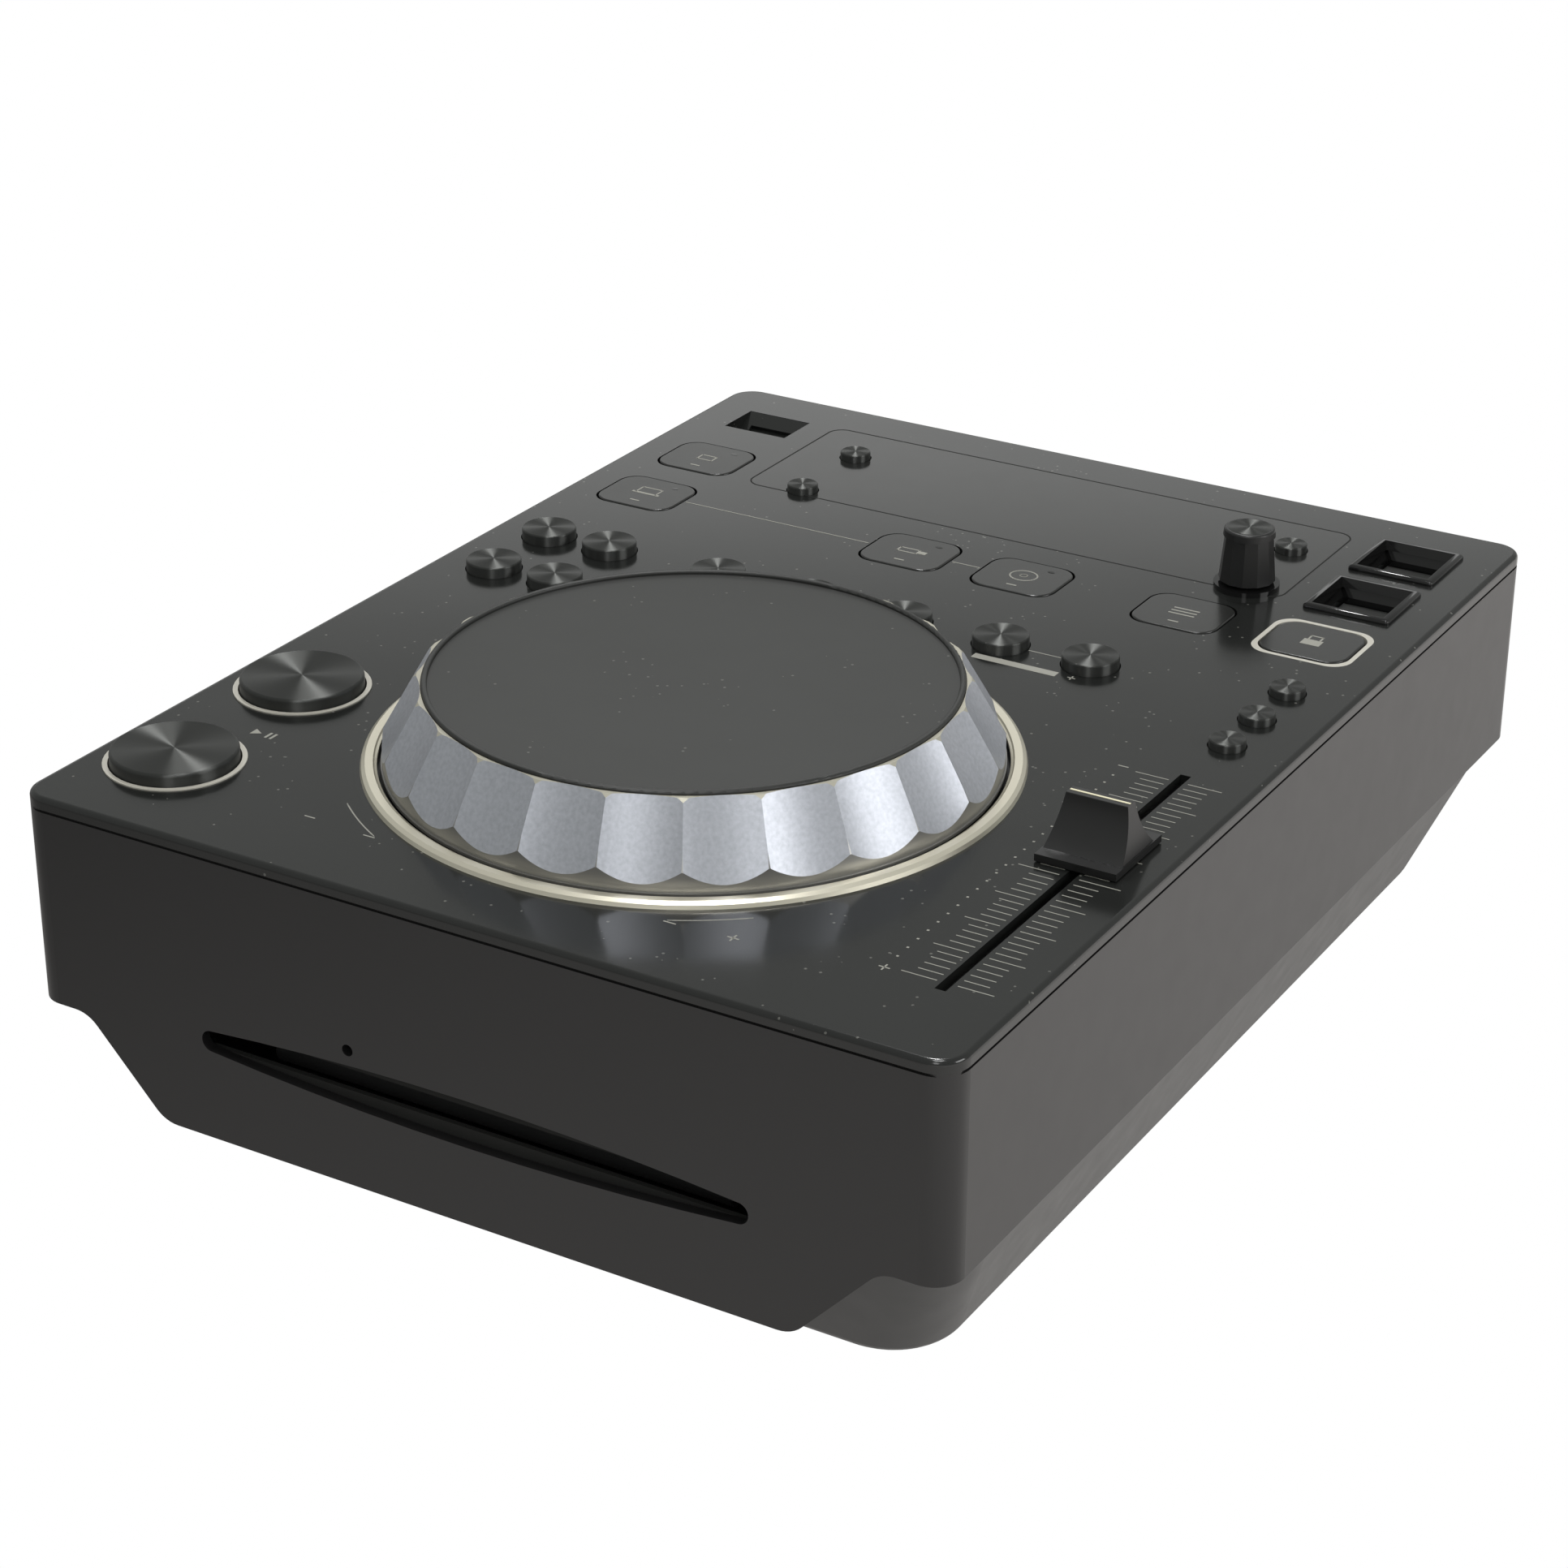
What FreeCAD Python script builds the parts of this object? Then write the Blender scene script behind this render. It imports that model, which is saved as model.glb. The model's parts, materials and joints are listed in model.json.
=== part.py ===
import FreeCAD, Part
import math
import os
import re

# Tabletop disc player for mixing: a wide jog dial on a sloping-sided case, with
# push keys, a tempo slider, a turning selector and a slot for discs in the front.
# Millimetres.  X runs to the player's right, Y to its rear, Z up, feet on Z = 0.

doc = FreeCAD.newDocument("TabletopPlayer")
sheet = doc.addObject("Spreadsheet::Sheet", "Sizes")
Vec = FreeCAD.Vector
VALUES = {}
NODES = {}
WORD = re.compile(r"[a-z][a-z_]+[a-z]")


def size(name, value):
    row = len(VALUES) + 1
    sheet.set("A%d" % row, name)
    sheet.set("B%d" % row, str(value))
    sheet.setAlias("B%d" % row, name)
    VALUES[name] = value


# Case
body_width = 218.5
body_depth = 288
panel_top = 86
panel_thickness = 2.7
panel_edge_round = 1.2
corner_radius = 6.5
case_wall = 2.5
seam_height = 0.6
seam_depth = 0.6
skirt_bottom = 38
apron_bottom = 17.6
apron_inset = 14.25
apron_run = 19
apron_blend = 7.5
tray_wall = 2
tray_inset = 1.25
tray_flare_x = 12.5
tray_flare_y = 13.2
tray_corner = 17
tray_floor_round = 3.5
foot_height = 7
foot_radius = 9
foot_inset = 20

# Clearances
seat_gap = 0.1
slide_gap = 0.3
bore_gap = 0.05

# Jog dial
jog_x = 0.7
jog_y = -57.2
trim_height = 1.4
jog_base_radius = 65.5
jog_lift = 0.4
jog_cusp_height = 5.6
jog_shoulder_radius = 58.4
jog_shoulder_height = 17.2
jog_top_height = 18.9
jog_rim_width = 1.3
jog_facets = 24
scallop_radius = 21
scallop_depth = 1.5
jog_shaft_radius = 4
jog_hub_radius = 11
bearing_thickness = 2.5
bearing_boss_radius = 9
encoder_disc_radius = 18
rim_round = 0.5
trim_gap = 0.8
trim_width = 3.6
jog_lip_width = 1.8

# Keys
key_flange = 1.2
key_flange_thickness = 1.3
key_travel = 0.6
switch_gap = 0.9
small_key_radius = 6.5
small_key_proud = 2.5
dot_key_radius = 4
dot_key_proud = 1.8
window_key_radius = 3.8
pad_key_width = 21
pad_key_depth = 18.5
pad_key_corner = 5
pad_key_proud = 0.2
pad_groove = 0.4
frame_line = 1.1
big_key_proud = 3
light_ring_inner = 14
light_ring_proud = 0.3
big_key_x = -90.8
cue_key_y = -72
play_key_y = -115.5
well_x = 88.6
well_width = 20
well_depth = 19.5
well_corner = 2.5
well_sink = 4.6
power_well_y = 119.3
eject_well_y = 92.6
switch_side = 6
key_edge_round = 0.4
big_key_edge_round = 0.7
light_ring_width = 1.1
well_bevel = 2.2

# Display window and selector
window_width = 144
window_depth = 45.6
window_x = -0.5
window_y = 106.8
window_thickness = 2
window_corner = 4
screen_width = 92
screen_depth = 36
selector_x = 61.8
selector_y = 87.5
selector_base_radius = 7
selector_top_radius = 5.9
selector_height = 13.5
selector_collar_radius = 7.7
selector_collar_height = 1.2
selector_shaft_radius = 3
selector_facets = 12
selector_cap_round = 0.6

# Stick socket in the rear left corner
scoop_x = -89.1
scoop_y = 122.5
scoop_width = 20.2
scoop_depth = 15
scoop_block = 10
scoop_drop = 8.6
port_width = 13.2
port_height = 5.7
port_length = 11
port_lean = 31
port_mouth_y = 116
port_mouth_z = 79.9
port_wall = 0.6

# Tempo slider
tempo_x = 93.3
tempo_slot_y = -66.4
tempo_slot_length = 107
tempo_slot_width = 2.4
tempo_knob_width = 18
tempo_knob_length = 20.7
tempo_knob_height = 12.4
tempo_ridge_width = 13.6
tempo_ridge_length = 3
tempo_scoop_radius = 16
tempo_rest_offset = 12.3

# Disc mechanism
slot_x = 1
slot_z = 40.9
slot_end_height = 4.8
slot_mid_rise = 5.4
disc_x = 0.7
disc_y = -60
deck_width = 148
deck_length = 148
deck_sheet = 1.5
motor_radius = 14
motor_height = 10
turntable_radius = 14.5
turntable_boss_radius = 7.3
spindle_radius = 1.5
rod_radius = 1.5
rod_spread = 12
roller_radius = 3
pin_hole_x = -27
pin_hole_z = 49.2
deck_drop = 12.9
deck_rise = 5.1
roller_setback = 14
disc_radius = 60
slot_spare = 3

# Boards and rear sockets
board_thickness = 1.6
inlet_x = -78
inlet_z = 60
inlet_width = 27.2
inlet_height = 19.8
sound_x = 62
sound_z = 60
sound_width = 36
sound_height = 16
link_x = 14
link_z = 60
link_width = 26
link_height = 14
rear_inset = 0.4
panel_board_drop = 12.4
main_board_lift = 11

# Rows and columns of the keys on the panel
left_column_outer = -94.0
left_column_inner = -76.8
track_row = 28.9
search_row = 5.7
loop_row = 27.8
loop_in_x = -45.8
loop_out_x = -21.0
loop_exit_x = 3.8
memory_x = 28.6
recall_x = 51.0
right_dot_column = 94.5
jog_mode_row = 36.4
tempo_range_row = 20.3
tempo_hold_row = 5.0
window_left_column = -57.6
window_rear_row = 113.3
window_front_row = 86.9
pad_left_column = -89.3
pad_rear_row = 93.0
pad_row = 64.9
pad_middle_left_x = -15.0
pad_middle_right_x = 14.9
pad_right_inner_x = 56.3
pad_right_outer_x = 88.2

for name, value in list(globals().items()):
    if isinstance(value, (int, float)) and not name.startswith("_"):
        size(name, value)

# Sizes that follow from others
size("tray_half_width_top", "=body_width / 2 - tray_inset")
size("tray_half_depth_top", "=body_depth / 2 - case_wall - slide_gap")
size("tray_half_width_foot", "=tray_half_width_top - tray_flare_x")
size("tray_half_depth_foot", "=tray_half_depth_top - tray_flare_y")
size("apron_half_root", "=body_width / 2 - apron_inset")
size("apron_half_foot", "=apron_half_root - apron_run")
size("foot_half_x", "=tray_half_width_foot - foot_inset")
size("foot_half_y", "=tray_half_depth_foot - foot_inset")
size("trim_inner", "=jog_base_radius + trim_gap")
size("trim_outer", "=trim_inner + trim_width")
size("jog_plate_radius", "=jog_shoulder_radius - jog_lip_width")
size("big_key_radius", "=light_ring_inner - slide_gap - 0.1")
size("light_ring_outer", "=light_ring_inner + light_ring_width")
size("well_mouth", "=well_width - 2 * well_bevel")
size("panel_board_top", "=panel_top - panel_board_drop")
size("deck_floor", "=slot_z - deck_drop")
size("deck_side_top", "=slot_z + deck_rise")
size("roller_y", "=roller_setback - body_depth / 2")
size("main_board_bottom", "=foot_height + tray_wall + main_board_lift")
size("slot_half_width", "=disc_radius + slot_spare")
size("tempo_rest_y", "=tempo_slot_y + tempo_rest_offset")
doc.recompute()


def val(name):
    return float(sheet.get(name))


def expr(text):
    def swap(match):
        word = match.group(0)
        return "Sizes." + word if word in VALUES else word
    return WORD.sub(swap, str(text))


def bind(ob, prop, text):
    ob.setExpression(prop, expr(text))


def place(ob, x, y, z):
    bind(ob, "Placement.Base.x", x)
    bind(ob, "Placement.Base.y", y)
    bind(ob, "Placement.Base.z", z)


def box(name, lx, ly, lz, x, y, z):
    # Centred on x and y, standing on z.
    ob = doc.addObject("Part::Box", name)
    bind(ob, "Length", lx)
    bind(ob, "Width", ly)
    bind(ob, "Height", lz)
    place(ob, "(%s) - (%s) / 2" % (x, lx), "(%s) - (%s) / 2" % (y, ly), z)
    ob.recompute()
    return ob


def rod(name, radius, height, x, y, z):
    ob = doc.addObject("Part::Cylinder", name)
    bind(ob, "Radius", radius)
    bind(ob, "Height", height)
    place(ob, x, y, z)
    ob.recompute()
    return ob


def lying(name, radius, length, x, y, z, axis):
    # A cylinder lying along X or Y from the point given.
    ob = doc.addObject("Part::Cylinder", name)
    bind(ob, "Radius", radius)
    bind(ob, "Height", length)
    if axis == "x":
        ob.Placement = FreeCAD.Placement(Vec(0, 0, 0), FreeCAD.Rotation(Vec(0, 1, 0), 90))
    else:
        ob.Placement = FreeCAD.Placement(Vec(0, 0, 0), FreeCAD.Rotation(Vec(1, 0, 0), -90))
    place(ob, x, y, z)
    ob.recompute()
    return ob


def cone(name, low, high, height, x, y, z):
    ob = doc.addObject("Part::Cone", name)
    bind(ob, "Radius1", low)
    bind(ob, "Radius2", high)
    bind(ob, "Height", height)
    place(ob, x, y, z)
    ob.recompute()
    return ob


def taper(name, half_x_low, half_y_low, half_x_high, half_y_high, height, x, y, z):
    # A block whose four sides lean; the wedge's own Y is turned to point up.
    ob = doc.addObject("Part::Wedge", name)
    bind(ob, "Xmin", "-(%s)" % half_x_low)
    bind(ob, "Xmax", half_x_low)
    bind(ob, "Zmin", "-(%s)" % half_y_low)
    bind(ob, "Zmax", half_y_low)
    bind(ob, "X2min", "-(%s)" % half_x_high)
    bind(ob, "X2max", half_x_high)
    bind(ob, "Z2min", "-(%s)" % half_y_high)
    bind(ob, "Z2max", half_y_high)
    bind(ob, "Ymin", 0)
    bind(ob, "Ymax", height)
    ob.Placement = FreeCAD.Placement(Vec(0, 0, 0), FreeCAD.Rotation(Vec(1, 0, 0), 90))
    place(ob, x, y, z)
    ob.recompute()
    return ob


def fuse(name, pieces):
    ob = doc.addObject("Part::MultiFuse", name)
    ob.Shapes = pieces
    ob.Refine = True
    ob.recompute()
    return ob


def cut(name, base, tools):
    tool = tools[0]
    if len(tools) > 1:
        tool = doc.addObject("Part::Compound", name + "_tools")
        tool.Links = tools
        tool.recompute()
    ob = doc.addObject("Part::Cut", name)
    ob.Base = base
    ob.Tool = tool
    ob.Refine = True
    ob.recompute()
    return ob


def group(name, pieces):
    ob = doc.addObject("Part::Compound", name)
    ob.Links = pieces
    ob.recompute()
    return ob


def fillet(name, base, radius, pick):
    ob = doc.addObject("Part::Fillet", name)
    ob.Base = base
    amount = val(radius)
    chosen = []
    for number, edge in enumerate(base.Shape.Edges):
        if pick(edge):
            chosen.append((number + 1, amount, amount))
    ob.Edges = chosen
    ob.recompute()
    return ob


def upright(edge):
    box_of_edge = edge.BoundBox
    return box_of_edge.ZLength > 0.5 and box_of_edge.XLength < 1e-4 and box_of_edge.YLength < 1e-4


def at_height(level):
    def pick(edge):
        bb = edge.BoundBox
        return abs(bb.ZMin - level) < 1e-4 and abs(bb.ZMax - level) < 1e-4
    return pick


def pad(name, lx, ly, lz, x, y, z, corner):
    # An upright block with rounded corners in plan.
    return fillet(name, box(name + "_block", lx, ly, lz, x, y, z), corner, upright)


def node(ob, name):
    ob.Label = name
    NODES[name] = ob
    return ob


def feature(name, shape, x, y, z):
    ob = doc.addObject("Part::Feature", name)
    ob.Shape = shape
    place(ob, x, y, z)
    ob.recompute()
    return ob


UNDER = "panel_top - panel_thickness"

# Places of the keys on the panel: name, x, y.
SMALL_KEYS = [
    ("track_back_key", "left_column_outer", "track_row"),
    ("track_forward_key", "left_column_inner", "track_row"),
    ("search_back_key", "left_column_outer", "search_row"),
    ("search_forward_key", "left_column_inner", "search_row"),
    ("loop_in_key", "loop_in_x", "loop_row"),
    ("loop_out_key", "loop_out_x", "loop_row"),
    ("loop_exit_key", "loop_exit_x", "loop_row"),
    ("memory_key", "memory_x", "loop_row"),
    ("recall_key", "recall_x", "loop_row"),
]
DOT_KEYS = [
    ("jog_mode_key", "right_dot_column", "jog_mode_row"),
    ("tempo_range_key", "right_dot_column", "tempo_range_row"),
    ("tempo_hold_key", "right_dot_column", "tempo_hold_row"),
]
WINDOW_KEYS = [
    ("time_key", "window_left_column", "window_rear_row"),
    ("list_key", "window_left_column", "window_front_row"),
    ("return_key", "selector_x", "window_rear_row"),
]
PAD_KEYS = [
    ("pad_key_left_rear", "pad_left_column", "pad_rear_row"),
    ("pad_key_left", "pad_left_column", "pad_row"),
    ("pad_key_middle_left", "pad_middle_left_x", "pad_row"),
    ("pad_key_middle_right", "pad_middle_right_x", "pad_row"),
    ("pad_key_right_inner", "pad_right_inner_x", "pad_row"),
    ("pad_key_right_outer", "pad_right_outer_x", "pad_row"),
]

# Round keys: a cap that stands above the panel, and a flange that holds it below.
def round_key(name, x, y, radius, proud, edge):
    low = "%s - slide_gap - key_flange_thickness" % UNDER
    cap = rod(name + "_cap", radius, "panel_thickness + slide_gap + (%s)" % proud, x, y, UNDER + " - slide_gap")
    soft = fillet(name + "_soft", cap, edge, at_height(val("panel_top") + val(proud)))
    flange = rod(name + "_flange", "%s + key_flange" % radius, "key_flange_thickness", x, y, low)
    return node(fuse(name, [soft, flange]), name)


for key, x, y in SMALL_KEYS:
    round_key(key, x, y, "small_key_radius", "small_key_proud", "key_edge_round")
for key, x, y in DOT_KEYS:
    round_key(key, x, y, "dot_key_radius", "dot_key_proud", "key_edge_round")
for key, x, y in WINDOW_KEYS:
    round_key(key, x, y, "window_key_radius", "dot_key_proud", "key_edge_round")

# Flat keys with rounded corners, level with the panel in a fine groove.
for key, x, y in PAD_KEYS:
    cap = pad(key + "_cap", "pad_key_width", "pad_key_depth",
              "panel_thickness + slide_gap + pad_key_proud",
              x, y, UNDER + " - slide_gap", "pad_key_corner")
    soft = fillet(key + "_soft", cap, "key_edge_round", at_height(val("panel_top") + val("pad_key_proud")))
    flange = box(key + "_flange", "pad_key_width + 2 * key_flange", "pad_key_depth + 2 * key_flange",
                 "key_flange_thickness", x, y,
                 UNDER + " - slide_gap - key_flange_thickness")
    node(fuse(key, [soft, flange]), key)

# The two large round buttons sit in clear rings that light up.
for key, y in (("cue_button", "cue_key_y"), ("play_button", "play_key_y")):
    low = "%s - 1 - slide_gap" % UNDER
    cap = rod(key + "_cap", "big_key_radius", "panel_thickness + 1 + slide_gap + big_key_proud",
              "big_key_x", y, low)
    soft = fillet(key + "_soft", cap, "big_key_edge_round", at_height(val("panel_top") + val("big_key_proud")))
    flange = rod(key + "_flange", "light_ring_outer + 0.5", "key_flange_thickness", "big_key_x", y,
                 low + " - key_flange_thickness")
    node(fuse(key, [soft, flange]), key)

# Power and eject keys lie at the bottom of bevelled wells.
for key, y in (("power_key", "power_well_y"), ("eject_key", "eject_well_y")):
    cap = box(key + "_cap", "well_mouth - 2 * slide_gap", "well_mouth - 2 * slide_gap", "3.2",
              "well_x", y, "panel_top - well_sink - 3.2")
    flange = box(key + "_flange", "well_mouth + 2", "well_mouth + 2", "key_flange_thickness",
                 "well_x", y, "panel_top - well_sink - 3.2 - key_flange_thickness")
    soft = fillet(key + "_soft", cap, "key_edge_round", at_height(val("panel_top") - val("well_sink")))
    node(fuse(key, [soft, flange]), key)

# Top panel: one plate with rounded edges, pierced for everything that comes through it.
plate = pad("panel_plate", "body_width", "body_depth", "panel_thickness", 0, 0, UNDER, "corner_radius")
plate = fillet("panel_soft", plate, "panel_edge_round", at_height(val("panel_top")))
holes = [rod("jog_hole", "trim_inner + 0.6", "panel_thickness + 2", "jog_x", "jog_y", UNDER + " - 1")]
for group_keys, radius in ((SMALL_KEYS, "small_key_radius"), (DOT_KEYS, "dot_key_radius"),
                           (WINDOW_KEYS, "window_key_radius")):
    for key, x, y in group_keys:
        holes.append(rod(key + "_hole", "%s + slide_gap" % radius, "panel_thickness + 2",
                         x, y, UNDER + " - 1"))
for key, x, y in PAD_KEYS:
    grow = "2 * pad_groove"
    if key == "pad_key_right_outer":
        grow = "2 * pad_groove + 2 * frame_line"
    holes.append(pad(key + "_hole", "pad_key_width + " + grow, "pad_key_depth + " + grow,
                     "panel_thickness + 2", x, y, UNDER + " - 1", "pad_key_corner"))
for key, y in (("cue", "cue_key_y"), ("play", "play_key_y")):
    holes.append(rod(key + "_hole", "light_ring_outer", "panel_thickness + 2", "big_key_x", y, UNDER + " - 1"))
for key, y in (("power", "power_well_y"), ("eject", "eject_well_y")):
    holes.append(pad(key + "_hole", "well_width", "well_depth", "panel_thickness + 2",
                     "well_x", y, UNDER + " - 1", "well_corner"))
holes.append(pad("window_pocket", "window_width + 2 * seat_gap", "window_depth + 2 * seat_gap",
                 "window_thickness + 1", "window_x", "window_y", "panel_top - window_thickness",
                 "window_corner"))
holes.append(box("screen_hole", "screen_width", "screen_depth", "panel_thickness", "window_x", "window_y",
                 UNDER + " - 1"))
holes.append(rod("selector_hole", "5", "panel_thickness + 2", "selector_x", "selector_y", UNDER + " - 1"))
holes.append(box("scoop_hole", "scoop_width", "scoop_depth", "panel_thickness + 2", "scoop_x", "scoop_y",
                 UNDER + " - 1"))
holes.append(box("tempo_hole", "tempo_slot_width", "tempo_slot_length", "panel_thickness + 2", "tempo_x",
                 "tempo_slot_y", UNDER + " - 1"))
node(cut("top_panel", plate, holes), "top_panel")

# Light rings round the two large buttons, and the pale frame line round one flat key.
rings = []
for key, y in (("cue", "cue_key_y"), ("play", "play_key_y")):
    tube = rod(key + "_ring_out", "light_ring_outer", "panel_thickness + light_ring_proud", "big_key_x", y, UNDER)
    lip = rod(key + "_ring_lip", "light_ring_outer + 0.7", "0.9", "big_key_x", y, UNDER + " - 0.9")
    bore = rod(key + "_ring_bore", "light_ring_inner", "8", "big_key_x", y, UNDER + " - 3")
    rings.append(cut(key + "_ring", fuse(key + "_ring_body", [tube, lip]), [bore]))
outer = pad("frame_out", "pad_key_width + 2 * pad_groove + 2 * frame_line",
            "pad_key_depth + 2 * pad_groove + 2 * frame_line", "panel_thickness",
            "pad_right_outer_x", "pad_row", UNDER, "pad_key_corner")
inner = pad("frame_in", "pad_key_width + 2 * pad_groove", "pad_key_depth + 2 * pad_groove", "panel_thickness + 2",
            "pad_right_outer_x", "pad_row", UNDER + " - 1", "pad_key_corner")
rings.append(cut("frame_line_ring", outer, [inner]))
node(group("light_rings", rings), "light_rings")

# Bevelled wells that guard the power and eject keys, and the collar under the selector.
wells = []
for key, y in (("power", "power_well_y"), ("eject", "eject_well_y")):
    outer = pad(key + "_well_out", "well_width", "well_depth", "well_sink + 2.9", "well_x", y,
                "panel_top - well_sink - 2.9", "well_corner")
    mouth = box(key + "_well_mouth", "well_mouth", "well_mouth", "12", "well_x", y, "panel_top - 12")
    bevel = taper(key + "_well_bevel", "well_mouth / 2", "well_mouth / 2", "well_width / 2 - 0.5",
                  "well_depth / 2 - 0.5", "well_sink - 1.4", "well_x", y, "panel_top - well_sink + 1.4")
    wells.append(cut(key + "_well", outer, [mouth, bevel]))
collar = rod("collar_out", "selector_collar_radius", "selector_collar_height", "selector_x", "selector_y", "panel_top")
collar_bore = rod("collar_bore", "4.6", "8", "selector_x", "selector_y", "panel_top - 2")
wells.append(cut("collar_ring", collar, [collar_bore]))
node(group("panel_bezels", wells), "panel_bezels")

# Display: a flush window with its screen module below.
lens = pad("lens", "window_width", "window_depth", "window_thickness", "window_x", "window_y",
           "panel_top - window_thickness", "window_corner")
lens_holes = [rod("lens_selector_hole", "5", "window_thickness + 2", "selector_x", "selector_y",
                  "panel_top - window_thickness - 1")]
for key, x, y in WINDOW_KEYS:
    lens_holes.append(rod(key + "_lens_hole", "window_key_radius + slide_gap", "window_thickness + 2",
                          x, y, "panel_top - window_thickness - 1"))
node(cut("display_window", lens, lens_holes), "display_window")
frame_block = box("module_frame", "screen_width + 6", "screen_depth + 6", "6", "window_x", "window_y", UNDER + " - 6")
screen = box("module_screen", "screen_width - 2 * seat_gap", "screen_depth - 2 * seat_gap",
             "panel_thickness - window_thickness", "window_x", "window_y", UNDER)
node(fuse("display_module", [frame_block, screen]), "display_module")

# Case shell: side, rear and front walls, with the front wall drawn down to an apron.
wall_height = UNDER + " - skirt_bottom"
shell = pad("shell_block", "body_width", "body_depth", wall_height, 0, 0, "skirt_bottom", "corner_radius")
apron = taper("apron", "apron_half_foot", "case_wall / 2", "apron_half_root", "case_wall / 2",
              "skirt_bottom - apron_bottom", 0, "(case_wall - body_depth) / 2", "apron_bottom")
shell = fuse("shell_outer", [shell, apron])


def apron_corner(edge):
    bb = edge.BoundBox
    if bb.YLength < 1 or bb.YLength > 10 or bb.XLength > 1e-3 or bb.ZLength > 1e-3:
        return False
    return bb.ZMin < val("skirt_bottom") + 0.1 and bb.YMax < 0


cavity = box("shell_cavity", "body_width - 2 * case_wall", "body_depth - 2 * case_wall", wall_height + " + 2",
             0, 0, "skirt_bottom - 1")
seam_outer = box("seam_outer", "body_width + 4", "body_depth + 4", "seam_height + 1", 0, 0, UNDER + " - seam_height")
seam_inner = box("seam_inner", "body_width - 2 * seam_depth", "body_depth - 2 * seam_depth", "seam_height + 1",
                 0, 0, UNDER + " - seam_height")
seam = cut("seam_groove", seam_outer, [seam_inner])
shell = cut("shell_hollow", shell, [cavity, seam])
shell = fillet("shell_blended", shell, "apron_blend", apron_corner)

# The disc slot is a lens: level-ended, deeper towards its middle.
half = val("slot_half_width")
mid = val("slot_z")
rise = val("slot_mid_rise")
end = val("slot_end_height") / 2
sx = val("slot_x")
front = -val("body_depth") / 2
top_arc = Part.Arc(Vec(sx - half, front - 2, mid + end), Vec(sx, front - 2, mid + rise), Vec(sx + half, front - 2, mid + end))
low_arc = Part.Arc(Vec(sx - half, front - 2, mid - end), Vec(sx, front - 2, mid - rise), Vec(sx + half, front - 2, mid - end))
right_end = Part.Arc(Vec(sx + half, front - 2, mid + end), Vec(sx + half + end, front - 2, mid),
                     Vec(sx + half, front - 2, mid - end))
left_end = Part.Arc(Vec(sx - half, front - 2, mid + end), Vec(sx - half - end, front - 2, mid),
                    Vec(sx - half, front - 2, mid - end))
outline = Part.Wire(Part.__sortEdges__([top_arc.toShape(), right_end.toShape(), low_arc.toShape(), left_end.toShape()]))
slot_tool = feature("slot_tool", Part.Face(outline).extrude(Vec(0, 8, 0)), 0, 0, 0)
pin_hole = lying("pin_hole", "1.3", "10", "pin_hole_x", "-body_depth / 2 - 2", "pin_hole_z", "y")
inlet_hole = box("inlet_hole", "inlet_width", "10", "inlet_height", "inlet_x", "body_depth / 2", "inlet_z - inlet_height / 2")
sound_hole = box("sound_hole", "sound_width", "10", "sound_height", "sound_x", "body_depth / 2", "sound_z - sound_height / 2")
link_hole = box("link_hole", "link_width", "10", "link_height", "link_x", "body_depth / 2", "link_z - link_height / 2")
node(cut("case_shell", shell, [slot_tool, pin_hole, inlet_hole, sound_hole, link_hole]), "case_shell")

# Bottom tray: a tub with leaning sides, rounded corners and posts on its floor.
tray_height = "skirt_bottom - foot_height"
tub = taper("tub", "tray_half_width_foot", "tray_half_depth_foot", "tray_half_width_top", "tray_half_depth_top",
            tray_height, 0, 0, "foot_height")


def leaning(edge):
    bb = edge.BoundBox
    return bb.ZLength > 5 and bb.XLength < bb.ZLength


tub = fillet("tub_round", tub, "tray_corner", leaning)
tub = fillet("tub_soft", tub, "tray_floor_round", at_height(val("foot_height")))
hollow = taper("tub_hollow", "tray_half_width_foot - tray_wall", "tray_half_depth_foot - tray_wall",
               "tray_half_width_top - tray_wall", "tray_half_depth_top - tray_wall",
               tray_height, 0, 0, "foot_height + tray_wall")
hollow = fillet("tub_hollow_round", hollow, "tray_corner", leaning)
tub = cut("tub_shell", tub, [hollow])
posts = []
for i, sign_x in enumerate((-1, 1)):
    for j, y in enumerate(("disc_y - 60", "disc_y + 60")):
        posts.append(rod("deck_post_%d%d" % (i, j), "4", "deck_floor - foot_height - tray_wall + 0.5",
                         "disc_x + %d * (deck_width / 2 - 8)" % sign_x, y, "foot_height + tray_wall - 0.5"))
        posts.append(rod("board_post_%d%d" % (i, j), "3.5", "main_board_bottom - foot_height - tray_wall + 0.5",
                         "%d * 84" % sign_x, ("36", "116")[j], "foot_height + tray_wall - 0.5"))
notch = box("tub_notch", "2 * slot_half_width + 8", "16", "9", "slot_x", "-tray_half_depth_top", "skirt_bottom - 5")
node(cut("bottom_tray", fuse("tub_full", [tub] + posts), [notch]), "bottom_tray")

# Rubber feet and the case screws in the tray floor.
feet = []
screws = []
for i, sign_x in enumerate((-1, 1)):
    for j, sign_y in enumerate((-1, 1)):
        feet.append(cone("foot_%d%d" % (i, j), "foot_radius - 1", "foot_radius", "foot_height",
                         "%d * foot_half_x" % sign_x, "%d * foot_half_y" % sign_y, 0))
        head = rod("screw_head_%d%d" % (i, j), "3.2", "1.8", "%d * (foot_half_x - 22)" % sign_x,
                   "%d * (foot_half_y + 6)" % sign_y, "foot_height - 1.8")
        drive = box("screw_drive_%d%d" % (i, j), "3.6", "0.8", "1", "%d * (foot_half_x - 22)" % sign_x,
                    "%d * (foot_half_y + 6)" % sign_y, "foot_height - 2.3")
        screws.append(cut("screw_%d%d" % (i, j), head, [drive]))
node(group("rubber_feet", feet), "rubber_feet")
node(group("case_screws", screws), "case_screws")

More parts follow.
